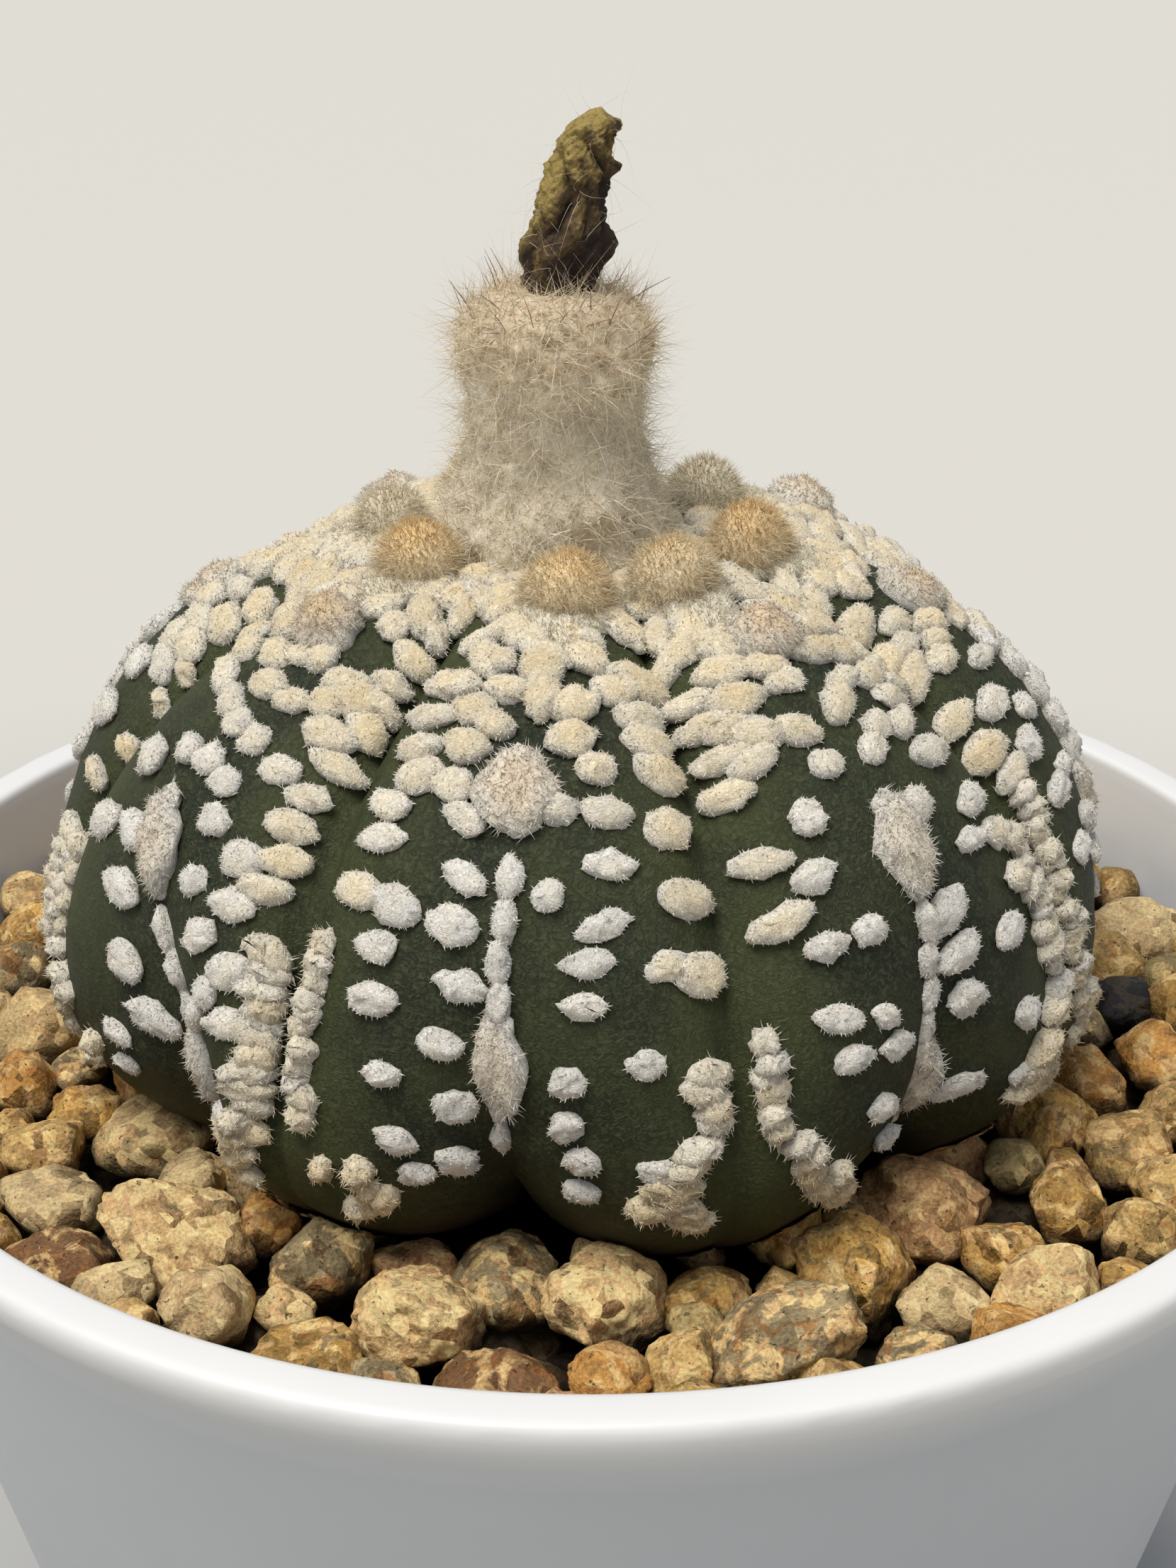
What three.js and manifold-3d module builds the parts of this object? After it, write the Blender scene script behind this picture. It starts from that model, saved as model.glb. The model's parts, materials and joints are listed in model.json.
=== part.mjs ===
// Super kabuto star cactus in a round white pot, with its fruit and the dried flower on top.
// Millimetres, +Z up. The origin is on the pot's axis, on the surface that the pot stands on.
// The front of the plant faces -Y.

import * as THREE from 'three';
import { mergeVertices } from 'three/addons/utils/BufferGeometryUtils.js';
import Module from 'manifold-3d';

const wasm = await Module();
wasm.setup();

// Driving dimensions of the pot
const POT_HEIGHT = 82;
const RIM_RADIUS = 52.5;
const LIP_WIDTH = 3;
const LIP_DEPTH = 3;
const WALL_TOP_RADIUS = 51.2;
const WALL_TAPER = THREE.MathUtils.degToRad(12.5);
const WALL_THICKNESS = 2.2;
const FOOT_HEIGHT = 2;
const FOOT_WIDTH = 2.6;
const FLOOR_TOP = 4.2;
const DRAIN_RADIUS = 6;
const SIDE_DRAIN_RADIUS = 3.4;
const SIDE_DRAIN_CIRCLE = 18;
const SIDE_DRAINS = 4;
const FOOT_NOTCHES = 3;
const FOOT_NOTCH_WIDTH = 9;
const FOOT_NOTCH_HEIGHT = 1.1;
const POT_SIDES = 40;

// What fills the pot
const GAP = 0.35;
const SOIL_TOP = POT_HEIGHT - 18;
const GRAVEL_SLAB_TOP = POT_HEIGHT - 9;
const GRAVEL_SPACING = 7.5;
const GRAVEL_INNER = 30.5;
const GRAVEL_LEVEL = POT_HEIGHT - 8;

// The plant: a ribbed dome that is widest just above the rim
const RIBS = 8;
const FIRST_RIB = THREE.MathUtils.degToRad(-7.2);
const PLANT_X = -0.7;
const PLANT_Y = 1.2;
const EQUATOR_Z = POT_HEIGHT + 2.6;
const EQUATOR_RADIUS = 36.6;
const DOME_HEIGHT = 26.5;
const BELLY_DEPTH = 18.6;
const SHOULDER_POWER = 0.9;
const CROWN_POWER = 0.97;
const CROWN_DIP = 1.6;
const CROWN_DIP_ANGLE = 14;
const GROOVE_DEPTH = 3.4;
const CREASE_DEPTH = 6.5;
const BODY_SIDES = RIBS * 6;
const BODY_ROWS = [0, 9, 18, 28, 38, 48, 58, 68, 78, 88, 98, 108, 119, 142];
const ROOT_ROWS = [[9, -15], [6.5, -26], [3.2, -36], [0, -38]];

// Woolly flecks on each half of a rib: [degrees down from the crown, place from crest to groove]
const FLECKS = {
  open: [[37, 0.36], [44, 0.24], [48, 0.42], [52, 0.14], [55, 0.25], [60, 0.36], [66, 0.44],
    [71, 0.15], [75, 0.3], [86, 0.14], [94, 0.13]],
  fanned: [[38, 0.3], [45, 0.37], [47, 0.14], [52, 0.27], [58, 0.27], [63, 0.4], [64, 0.16],
    [76, 0.13], [86, 0.18], [95, 0.17]],
  crowded: [[33, 0.41], [33, 0.22], [41, 0.36], [44, 0.13], [48, 0.38], [52, 0.23], [56, 0.4],
    [61, 0.33], [64, 0.2], [69, 0.31], [76, 0.22], [82, 0.42], [90, 0.15]],
  sparse: [[36, 0.24], [43, 0.13], [48, 0.35], [52, 0.18], [57, 0.38], [62, 0.15], [72, 0.32],
    [82, 0.16], [94, 0.12]],
  striped: [[34, 0.33], [41, 0.34], [45, 0.14], [48, 0.3], [52, 0.46], [56, 0.26], [61, 0.37],
    [66, 0.3], [72, 0.28], [82, 0.13], [88, 0.26]],
};

// One entry per rib, from the front one round to the right: the fleck pattern on its left and
// right half, the angle of its youngest areole, and the angles of the older ones below it
const RIB_PLAN = [
  { left: 'fanned', right: 'open', young: 16, areoles: [46, 78] },
  { left: 'crowded', right: 'sparse', young: 14, areoles: [28, 58, 88] },
  { left: 'striped', right: 'open', young: 17, areoles: [36, 72] },
  { left: 'fanned', right: 'crowded', young: 15, areoles: [30, 58, 86] },
  { left: 'sparse', right: 'striped', young: 16, areoles: [28, 50, 78] },
  { left: 'open', right: 'fanned', young: 15, areoles: [34, 62, 90] },
  { left: 'crowded', right: 'open', young: 17, areoles: [50, 80] },
  { left: 'sparse', right: 'striped', young: 15, areoles: [31, 64, 90] },
];
const CROWN_FLECK_ROWS = [25.5, 31];
const CROWN_FLECKS = [-0.3, 0, 0.3];
const BEAD_ROWS = [54, 65, 84, 96];
const FLUFF_ROWS = [68, 76, 84, 92, 100];
const FLECK_RADIUS = 1.6;
const FLECK_HEIGHT = 0.9;
const AREOLE_RADIUS = 1.9;
const AREOLE_HEIGHT = 2.3;
const ROOTING = 0.8;

// The crown's young wool, the fruit and the dried flower
const CROWN_TUFT_RADIUS = 3;
const CROWN_TUFT_HEIGHT = 4.4;
const CROWN_RING_THICKNESS = 1.2;
const CROWN_STEPS = 5;
const FRUIT_X = -1.7;
const FRUIT_Y = 0.6;
const FRUIT_PROFILE = [[0, 24], [6.6, 24.2], [7.6, 26.5], [7.7, 29], [6.9, 32], [6.1, 35.5],
  [6.3, 38], [7, 40.5], [7.1, 42.5], [6.2, 44.3], [4.4, 45], [2.6, 44.4], [0, 43.6]];
const FRUIT_SIDES = 14;
const FRUIT_FLUFF = 0.45;
const BRISTLES = 30;
const BRISTLE_RADIUS = 0.42;
const BRISTLE_LENGTH = 3;
const FLOWER_PROFILE = [[0, 42.2], [1.9, 42.4], [2.3, 44.4], [2.5, 47], [2.35, 49.2], [1.85, 51.2],
  [1.95, 53], [1.6, 54.6], [0, 55.3]];
const FLOWER_SIDES = 14;
const FLOWER_LEAN = 2.9;
const FLOWER_FOLDS = 0.26;

const COLOURS = {
  pot: 0xe9e8e4,
  soil: 0x4a3a2b,
  gravel: 0xbf9560,
  body: 0x55654a,
  wool: 0xd9ae72,
  fruit: 0xcfc8bb,
  flower: 0x6b5a2c,
};

const rad = THREE.MathUtils.degToRad;
const smooth = (x, from, to) => THREE.MathUtils.smoothstep(x, from, to);

// A number from 0 to 1 that is always the same for the same pair of whole numbers
function draw(i, j) {
  const s = Math.sin(i * 12.9898 + j * 78.233) * 43758.5453;
  return s - Math.floor(s);
}

// Turns a closed three.js geometry into a solid, with merged corners and faces that point out
function solid(geometry) {
  const bare = geometry.clone();
  bare.deleteAttribute('normal');
  bare.deleteAttribute('uv');
  const merged = mergeVertices(bare, 1e-4);
  const place = merged.getAttribute('position');
  const corners = merged.getIndex().array;
  const kept = [];
  let volume = 0;
  const [a, b, c] = [new THREE.Vector3(), new THREE.Vector3(), new THREE.Vector3()];
  for (let k = 0; k < corners.length; k += 3) {
    const [i, j, l] = [corners[k], corners[k + 1], corners[k + 2]];
    if (i === j || j === l || l === i) continue;
    kept.push(i, j, l);
    a.fromBufferAttribute(place, i);
    b.fromBufferAttribute(place, j);
    c.fromBufferAttribute(place, l);
    volume += a.dot(b.cross(c));
  }
  if (volume < 0) kept.reverse();
  return new wasm.Manifold(new wasm.Mesh({
    numProp: 3,
    vertProperties: new Float32Array(place.array),
    triVerts: new Uint32Array(kept),
  }));
}

// Joins many solids, pair by pair, so that no single join grows long
function joinAll(solids) {
  let level = solids;
  while (level.length > 1) {
    const next = [];
    for (let k = 0; k < level.length; k += 2) {
      next.push(k + 1 < level.length ? level[k].add(level[k + 1]) : level[k]);
    }
    level = next;
  }
  return level[0];
}

// A solid of revolution about +Z from [radius, height] points
function turned(points, sides) {
  const profile = points.map(([r, z]) => new THREE.Vector2(r, z));
  return new THREE.LatheGeometry(profile, sides).rotateX(Math.PI / 2);
}

// A lathe whose points are then moved by a rule that is given each point's angle and height
function shaped(points, sides, rule) {
  const geometry = turned(points, sides);
  const place = geometry.getAttribute('position');
  for (let k = 0; k < place.count; k += 1) {
    const r = Math.hypot(place.getX(k), place.getY(k));
    const angle = Math.atan2(place.getY(k), place.getX(k));
    const moved = rule(r, angle, place.getZ(k));
    place.setXYZ(k, moved.x, moved.y, moved.z);
  }
  return geometry;
}

function mesh(name, shape, colour, roughness) {
  const cut = shape.getMesh();
  const geometry = new THREE.BufferGeometry();
  geometry.setAttribute('position', new THREE.BufferAttribute(cut.vertProperties, 3));
  geometry.setIndex(new THREE.BufferAttribute(cut.triVerts, 1));
  geometry.computeVertexNormals();
  const material = new THREE.MeshStandardMaterial({ color: colour, roughness, metalness: 0 });
  const result = new THREE.Mesh(geometry, material);
  result.name = name;
  return result;
}

// The pot: a tapered cup with a rounded lip, a foot ring and drain holes

function wallRadius(z) {
  return WALL_TOP_RADIUS - Math.tan(WALL_TAPER) * (POT_HEIGHT - LIP_DEPTH - z);
}

function innerRadius(z) {
  return wallRadius(z) - WALL_THICKNESS / Math.cos(WALL_TAPER);
}

function pot() {
  const footOuter = wallRadius(0);
  const footInner = footOuter - FOOT_WIDTH;
  const lipInner = RIM_RADIUS - LIP_WIDTH;
  const top = POT_HEIGHT;
  const profile = [
    [footInner, 0], [footOuter, 0],
    [wallRadius(top - LIP_DEPTH), top - LIP_DEPTH],
    [RIM_RADIUS, top - 1.6], [RIM_RADIUS - 0.4, top - 0.4], [RIM_RADIUS - 1.2, top],
    [lipInner + 0.7, top - 0.15], [lipInner, top - 1],
    [innerRadius(top - LIP_DEPTH), top - LIP_DEPTH],
    [innerRadius(FLOOR_TOP + 1.6), FLOOR_TOP + 1.6],
    [innerRadius(FLOOR_TOP) - 1.4, FLOOR_TOP], [DRAIN_RADIUS, FLOOR_TOP],
    [DRAIN_RADIUS, FOOT_HEIGHT], [footInner - 0.6, FOOT_HEIGHT], [footInner, 0],
  ];
  let cup = solid(turned(profile, POT_SIDES));
  for (let k = 0; k < SIDE_DRAINS; k += 1) {
    const angle = rad(45) + (k * 2 * Math.PI) / SIDE_DRAINS;
    const hole = new THREE.CylinderGeometry(SIDE_DRAIN_RADIUS, SIDE_DRAIN_RADIUS, 8, 16)
      .rotateX(Math.PI / 2)
      .translate(SIDE_DRAIN_CIRCLE * Math.cos(angle), SIDE_DRAIN_CIRCLE * Math.sin(angle), 3);
    cup = cup.subtract(solid(hole));
  }
  for (let k = 0; k < FOOT_NOTCHES; k += 1) {
    const notch = new THREE.BoxGeometry(FOOT_WIDTH * 3, FOOT_NOTCH_WIDTH, 2 * FOOT_NOTCH_HEIGHT)
      .translate(footOuter - FOOT_WIDTH / 2, 0, 0)
      .rotateZ(rad(90) + (k * 2 * Math.PI) / FOOT_NOTCHES);
    cup = cup.subtract(solid(notch));
  }
  return cup;
}

// The plant's surface: angle runs round from the front to the right, and depth is in degrees
// down from the crown. Grooves run between the ribs above, and creases cut the crests below.
function plantPoint(angle, depth, proud = 0) {
  const s = Math.sin(rad(depth));
  const c = Math.cos(rad(depth));
  const upper = depth < 90;
  const place = (angle - FIRST_RIB) / ((2 * Math.PI) / RIBS);
  const across = Math.abs(place - Math.round(place));
  const groove = GROOVE_DEPTH * smooth(depth, 4, 34) * (1 - 0.72 * smooth(depth, 66, 112));
  const grooveShape = 0.55 * (1 - Math.cos(Math.PI * across))
    + 0.45 * Math.exp(-(0.5 - across) / 0.05);
  const crease = CREASE_DEPTH * smooth(depth, 46, 122);
  const creaseShape = 0.75 * (1 - Math.sin(Math.PI * across)) + 0.25 * Math.exp(-across / 0.06);
  const inward = groove * grooveShape + crease * creaseShape;
  const r = EQUATOR_RADIUS * (upper ? s ** SHOULDER_POWER : s)
    - inward * (0.35 + 0.65 * s) + proud * s;
  const z = (upper ? DOME_HEIGHT * c ** CROWN_POWER : BELLY_DEPTH * c)
    - inward * c * 0.55 - CROWN_DIP * Math.exp(-((depth / CROWN_DIP_ANGLE) ** 2)) + proud * c;
  return new THREE.Vector3(
    PLANT_X + r * Math.sin(angle),
    PLANT_Y - r * Math.cos(angle),
    EQUATOR_Z + z,
  );
}

// The ribbed body down to its taproot, grown by a clearance for the hollow that it sits in
function plantBody(proud) {
  const rows = BODY_ROWS.length + ROOT_ROWS.length - 1;
  const ball = new THREE.SphereGeometry(1, BODY_SIDES, rows);
  const place = ball.getAttribute('position');
  const sheet = ball.getAttribute('uv');
  for (let k = 0; k < place.count; k += 1) {
    const row = Math.floor(k / (BODY_SIDES + 1));
    const pole = row === 0 || row === rows;
    const angle = pole ? 0 : FIRST_RIB + sheet.getX(k) * 2 * Math.PI;
    let point;
    if (row < BODY_ROWS.length) {
      point = plantPoint(angle, BODY_ROWS[row], proud);
    } else {
      const [r, z] = ROOT_ROWS[row - BODY_ROWS.length];
      const grown = r > 0 ? r + proud : 0;
      point = new THREE.Vector3(
        PLANT_X + grown * Math.sin(angle),
        PLANT_Y - grown * Math.cos(angle),
        POT_HEIGHT + z - (r > 0 ? 0 : proud),
      );
    }
    place.setXYZ(k, point.x, point.y, point.z);
  }
  return solid(ball);
}

// Stands a small shape, made round +Z, on the plant's surface at a rib's place
function onRib(geometry, rib, across, depth, turn) {
  const step = 1e-3;
  const angle = FIRST_RIB + ((rib + across) * 2 * Math.PI) / RIBS;
  const at = plantPoint(angle, depth);
  const down = plantPoint(angle, depth + 0.1).sub(at);
  const round = plantPoint(angle + step, depth).sub(at);
  const out = down.clone().cross(round).normalize();
  const side = round.normalize();
  const along = new THREE.Vector3().crossVectors(out, side);
  const frame = new THREE.Matrix4().makeBasis(side, along, out).setPosition(at);
  return geometry.rotateZ(turn).applyMatrix4(frame);
}

// A fleck of wool: a low cone with few sides, sunk into the skin
function fleck(radius, height, sides) {
  return new THREE.ConeGeometry(radius, height + ROOTING, sides)
    .rotateX(Math.PI / 2)
    .translate(0, 0, (height - ROOTING) / 2);
}

function areole(radius, height) {
  return new THREE.SphereGeometry(1, 6, 3).rotateX(Math.PI / 2).scale(radius, radius, height);
}

function cactus() {
  const parts = [plantBody(0)];
  RIB_PLAN.forEach((plan, rib) => {
    [['left', -1], ['right', 1]].forEach(([half, side]) => {
      FLECKS[plan[half]].forEach(([depth, across], k) => {
        const size = 0.85 + 0.35 * draw(rib * 2 + side, k);
        const shape = fleck(FLECK_RADIUS * size, FLECK_HEIGHT, 4).scale(1, 1.15, 1);
        parts.push(solid(onRib(shape, rib, side * across, depth, draw(k, rib) * 2 - 1)));
      });
    });
    CROWN_FLECK_ROWS.forEach((depth) => {
      CROWN_FLECKS.forEach((across, k) => {
        const shape = fleck(FLECK_RADIUS * 1.1, FLECK_HEIGHT, 4);
        parts.push(solid(onRib(shape, rib, across, depth, k)));
      });
    });
    BEAD_ROWS.forEach((depth) => {
      const shape = fleck(0.95, 0.9, 4).scale(1, 1.7, 1);
      parts.push(solid(onRib(shape, rib, 0, depth, Math.PI / 4)));
    });
    FLUFF_ROWS.forEach((depth, k) => {
      const shape = fleck(1.9, 1.6, 4).scale(1, 1.5, 1);
      const across = 0.5 + 0.05 * (k % 2 ? 1 : -1);
      parts.push(solid(onRib(shape, rib, across, depth, 3 * draw(k, rib))));
    });
    plan.areoles.forEach((depth, k) => {
      const size = 0.9 + 0.25 * draw(rib, k + 9);
      const shape = areole(AREOLE_RADIUS * size, AREOLE_HEIGHT * size).scale(1, 1.15, 1);
      parts.push(solid(onRib(shape, rib, 0, depth, 0)));
    });
  });
  return joinAll(parts);
}

// The young areoles' wool: a ring round the foot of the fruit, which swells into a tuft on each
// crest and lies just clear of the skin
function crownWool() {
  const ring = new THREE.TorusGeometry(1, 0.5, 6, RIBS * CROWN_STEPS);
  const place = ring.getAttribute('position');
  const sheet = ring.getAttribute('uv');
  for (let k = 0; k < place.count; k += 1) {
    const turn = sheet.getX(k) * RIBS;
    const rib = Math.round(turn) % RIBS;
    const swell = Math.cos(Math.PI * (turn - Math.round(turn))) ** 2;
    const size = 0.9 + 0.2 * draw(rib, 31);
    const half = CROWN_RING_THICKNESS + (CROWN_TUFT_RADIUS * size - CROWN_RING_THICKNESS) * swell;
    const tall = CROWN_RING_THICKNESS + (CROWN_TUFT_HEIGHT * size - CROWN_RING_THICKNESS) * swell;
    const crest = plantPoint(FIRST_RIB, RIB_PLAN[rib].young);
    const radius = Math.hypot(crest.x - PLANT_X, crest.y - PLANT_Y);
    const angle = FIRST_RIB + sheet.getX(k) * 2 * Math.PI;
    const round = sheet.getY(k) * 2 * Math.PI;
    const r = radius + half * Math.cos(round);
    place.setXYZ(
      k,
      PLANT_X + r * Math.sin(angle),
      PLANT_Y - r * Math.cos(angle),
      crest.z + GAP + tall / 2 * (1 + Math.sin(round)),
    );
  }
  return solid(ring);
}

// The fruit, a soft waisted barrel with bristles round its top, grown by a clearance for its bed
function fruitBarrel(proud) {
  return solid(shaped(FRUIT_PROFILE, FRUIT_SIDES, (r, angle, z) => {
    const tuft = FRUIT_FLUFF * Math.sin(5 * angle + 1.3 * z) * Math.cos(3 * angle - 0.9 * z);
    const grown = r > 0.01 ? r + tuft + proud : 0;
    return new THREE.Vector3(
      FRUIT_X + grown * Math.cos(angle),
      FRUIT_Y + grown * Math.sin(angle),
      POT_HEIGHT + z,
    );
  }));
}

function bristles() {
  const golden = Math.PI * (3 - Math.sqrt(5));
  return Array.from({ length: BRISTLES }, (_, k) => {
    const share = k / (BRISTLES - 1);
    const angle = k * golden;
    const height = 30 + 13.5 * share;
    const lift = 0.25 + 0.85 * share ** 3;
    const foot = share > 0.8 ? 4.6 : 5.6;
    const needle = new THREE.ConeGeometry(BRISTLE_RADIUS, BRISTLE_LENGTH, 3)
      .translate(0, BRISTLE_LENGTH / 2, 0)
      .rotateZ(-(Math.PI / 2 - lift))
      .rotateX(Math.PI / 2)
      .translate(foot, 0, height)
      .rotateZ(angle)
      .translate(FRUIT_X, FRUIT_Y, POT_HEIGHT);
    return solid(needle);
  });
}

// The dried flower: a shrivelled tube that leans to the right, with long folds and a blunt tip
function driedFlower(proud) {
  const [, lowest] = FLOWER_PROFILE[0];
  const [, highest] = FLOWER_PROFILE[FLOWER_PROFILE.length - 1];
  return solid(shaped(FLOWER_PROFILE, FLOWER_SIDES, (r, angle, z) => {
    const climb = (z - lowest) / (highest - lowest);
    const fold = 1 + FLOWER_FOLDS * Math.sin(3 * angle + 3 * climb) * Math.sin(5 * climb + 0.6);
    const grown = r > 0.01 ? r * fold + proud : 0;
    return new THREE.Vector3(
      FRUIT_X + FLOWER_LEAN * climb ** 1.7 + grown * Math.cos(angle),
      FRUIT_Y + 0.82 * grown * Math.sin(angle),
      POT_HEIGHT + z - (r > 0.01 || climb > 0.5 ? 0 : proud),
    );
  }));
}

// The soil, with a plain hole for the taproot
function soil() {
  const under = FLOOR_TOP + GAP;
  const hole = ROOT_ROWS.map(([r, z]) => [r > 0 ? r + 0.5 : 0, POT_HEIGHT + z - 0.4]);
  const inside = hole.filter(([, z]) => z < SOIL_TOP - 1).reverse();
  const mouth = 8.9;
  const profile = [
    ...inside, [mouth, SOIL_TOP], [innerRadius(SOIL_TOP) - GAP, SOIL_TOP],
    [innerRadius(FLOOR_TOP + 2) - GAP, FLOOR_TOP + 2], [innerRadius(FLOOR_TOP) - 1.9, under],
    [0, under],
  ];
  const bed = turned(profile, POT_SIDES / 2);
  const place = bed.getAttribute('position');
  for (let k = 0; k < place.count; k += 1) {
    const near = Math.hypot(place.getX(k), place.getY(k)) < mouth + 0.1;
    if (near && place.getZ(k) > under + 1) {
      place.setXYZ(k, place.getX(k) + PLANT_X, place.getY(k) + PLANT_Y, place.getZ(k));
    }
  }
  return solid(bed);
}

// One pebble: a lumpy block with few faces
function pebble(i, j, size) {
  const stone = new THREE.IcosahedronGeometry(1, 0);
  const place = stone.getAttribute('position');
  for (let k = 0; k < place.count; k += 1) {
    const corner = Math.round(place.getX(k) * 7 + place.getY(k) * 31 + place.getZ(k) * 113);
    const grow = 0.86 + 0.3 * draw(corner, i * 17 + j);
    place.setXYZ(k, place.getX(k) * grow, place.getY(k) * grow, place.getZ(k) * grow);
  }
  return stone
    .scale(size * (0.9 + 0.25 * draw(i, j + 40)), size * (0.85 + 0.2 * draw(j, i + 50)),
      size * (0.75 + 0.2 * draw(i + 3, j)))
    .rotateX(draw(i, j + 5) - 0.5)
    .rotateY(draw(i, j + 6) - 0.5)
    .rotateZ(2 * Math.PI * draw(i, j + 7));
}

// The pebbles lie on a shallow bed, on a loose six-sided lattice, round the hollow of the plant
function gravel(hollow) {
  const under = SOIL_TOP + GAP;
  const slab = [
    [0, under], [innerRadius(under) - GAP, under],
    [innerRadius(GRAVEL_SLAB_TOP) - GAP, GRAVEL_SLAB_TOP], [0, GRAVEL_SLAB_TOP],
  ];
  const room = [
    [0, under], [innerRadius(under) - GAP, under],
    [innerRadius(POT_HEIGHT - 3) - GAP, POT_HEIGHT - 3], [0, POT_HEIGHT - 3],
  ];
  const stones = [solid(turned(slab, POT_SIDES / 2))];
  const rows = Math.ceil(RIM_RADIUS / GRAVEL_SPACING);
  for (let j = -rows; j <= rows; j += 1) {
    for (let i = -rows; i <= rows; i += 1) {
      const x = GRAVEL_SPACING * (i + (j % 2 ? 0.5 : 0) + 0.24 * (draw(i, j) - 0.5));
      const y = GRAVEL_SPACING * (0.87 * j + 0.24 * (draw(j, i + 20) - 0.5));
      const r = Math.hypot(x, y);
      const size = GRAVEL_SPACING * (0.43 + 0.07 * draw(i + 9, j + 9));
      if (r < GRAVEL_INNER || r > innerRadius(GRAVEL_LEVEL) - 1.6) continue;
      const z = GRAVEL_LEVEL + 1.3 * draw(i + 2, j + 4) - 0.4;
      stones.push(solid(pebble(i, j, size).translate(x, y, z)));
    }
  }
  return joinAll(stones).intersect(solid(turned(room, POT_SIDES))).subtract(hollow);
}

const flower = driedFlower(0);
const fruit = joinAll([fruitBarrel(0), ...bristles()])
  .subtract(plantBody(GAP))
  .subtract(driedFlower(GAP));
const plant = cactus().subtract(fruitBarrel(GAP));
const wool = crownWool().subtract(fruitBarrel(GAP));

const plantInPot = new THREE.Group();
plantInPot.add(
  mesh('pot', pot(), COLOURS.pot, 0.35),
  mesh('soil', soil(), COLOURS.soil, 0.95),
  mesh('gravel', gravel(plantBody(GAP)), COLOURS.gravel, 0.8),
  mesh('cactus_body', plant, COLOURS.body, 0.6),
  mesh('crown_wool', wool, COLOURS.wool, 0.95),
  mesh('fruit', fruit, COLOURS.fruit, 0.95),
  mesh('dried_flower', flower, COLOURS.flower, 0.7),
);

export default plantInPot;
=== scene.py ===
"""The looks of a potted super kabuto star cactus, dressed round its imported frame.

Every length below is in millimetres, in the frame's own axes, until a mesh is made: Blender's
objects are in metres. The pot stands on z = 0, its axis is the z axis, and the plant's front
faces -y.
"""

import json
import logging
import math
from collections.abc import Callable
from dataclasses import dataclass, field
from enum import Enum

import bmesh
import bpy
import numpy as np
from mathutils import Euler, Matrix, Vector

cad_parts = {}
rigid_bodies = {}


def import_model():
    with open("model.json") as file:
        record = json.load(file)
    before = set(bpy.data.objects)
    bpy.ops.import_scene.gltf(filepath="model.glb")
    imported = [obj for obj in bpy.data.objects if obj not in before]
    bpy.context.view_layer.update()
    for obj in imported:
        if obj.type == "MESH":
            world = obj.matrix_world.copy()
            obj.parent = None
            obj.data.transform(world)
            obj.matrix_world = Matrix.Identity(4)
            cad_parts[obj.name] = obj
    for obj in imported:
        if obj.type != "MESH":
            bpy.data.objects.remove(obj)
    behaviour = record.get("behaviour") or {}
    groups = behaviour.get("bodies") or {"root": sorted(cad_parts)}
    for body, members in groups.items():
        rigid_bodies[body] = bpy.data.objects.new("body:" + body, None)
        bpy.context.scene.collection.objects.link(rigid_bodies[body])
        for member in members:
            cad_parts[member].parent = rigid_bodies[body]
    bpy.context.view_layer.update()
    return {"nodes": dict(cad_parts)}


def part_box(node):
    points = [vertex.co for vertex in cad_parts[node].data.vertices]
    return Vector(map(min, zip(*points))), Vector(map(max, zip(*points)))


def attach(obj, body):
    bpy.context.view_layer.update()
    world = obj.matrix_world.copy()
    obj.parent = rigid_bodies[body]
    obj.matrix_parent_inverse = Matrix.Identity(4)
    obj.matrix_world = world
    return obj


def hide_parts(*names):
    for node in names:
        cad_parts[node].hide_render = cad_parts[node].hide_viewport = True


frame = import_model()

LOG = logging.getLogger("star_cactus")
MM = 0.001
BODY = "root"
RIM_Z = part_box("pot")[1].z / MM
RIM_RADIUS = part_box("pot")[1].x / MM

# How many waves the gentle noise is a sum of
WAVES = 7

Array = np.ndarray
Numbers = Array | float
Colour = tuple[float, float, float]
Part = tuple[Array, Array, dict[str, Array]]


# Small helpers

def draw(i: float, j: float) -> float:
    """Return a number from 0 to 1 that is always the same for the same pair of numbers."""
    s = math.sin(i * 12.9898 + j * 78.233) * 43758.5453
    return s - math.floor(s)


def smooth(x: Numbers, low: float, high: float) -> Array:
    """Return a smooth step that climbs from 0 at low to 1 at high."""
    t = np.clip((x - low) / (high - low), 0.0, 1.0)
    return t * t * (3 - 2 * t)


def turns(count: int) -> Array:
    """Return angles that share out a full turn, in radians."""
    return np.arange(count) * 2 * math.pi / count


def along(profile: tuple[tuple[float, float], ...], rows: int) -> tuple[Array, Array]:
    """Return a profile's radii and heights, as columns of even steps from point to point."""
    table = np.array(profile)
    at = np.linspace(0, len(table) - 1, rows)
    radii, heights = (np.interp(at, np.arange(len(table)), column) for column in table.T)
    return radii[:, None], heights[:, None]


def swell(points: Array, scale: float, seed: int) -> Array:
    """Return gentle noise from about -1 to 1, a sum of waves in fixed random directions.

    Args:
        points: the places, in rows of x, y and z.
        scale: the length of the waves.
        seed: what fixes their directions.

    Returns:
        One number for each place.
    """
    rng = np.random.default_rng(seed)
    ways = rng.normal(size=(WAVES, 3))
    ways *= (2 * math.pi / scale) * rng.uniform(0.6, 1.5, (WAVES, 1)) / np.linalg.norm(
        ways, axis=1, keepdims=True)
    total = np.sin(points @ ways.T + rng.uniform(0, 2 * math.pi, WAVES))
    return total.sum(axis=-1) / math.sqrt(WAVES)


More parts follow.
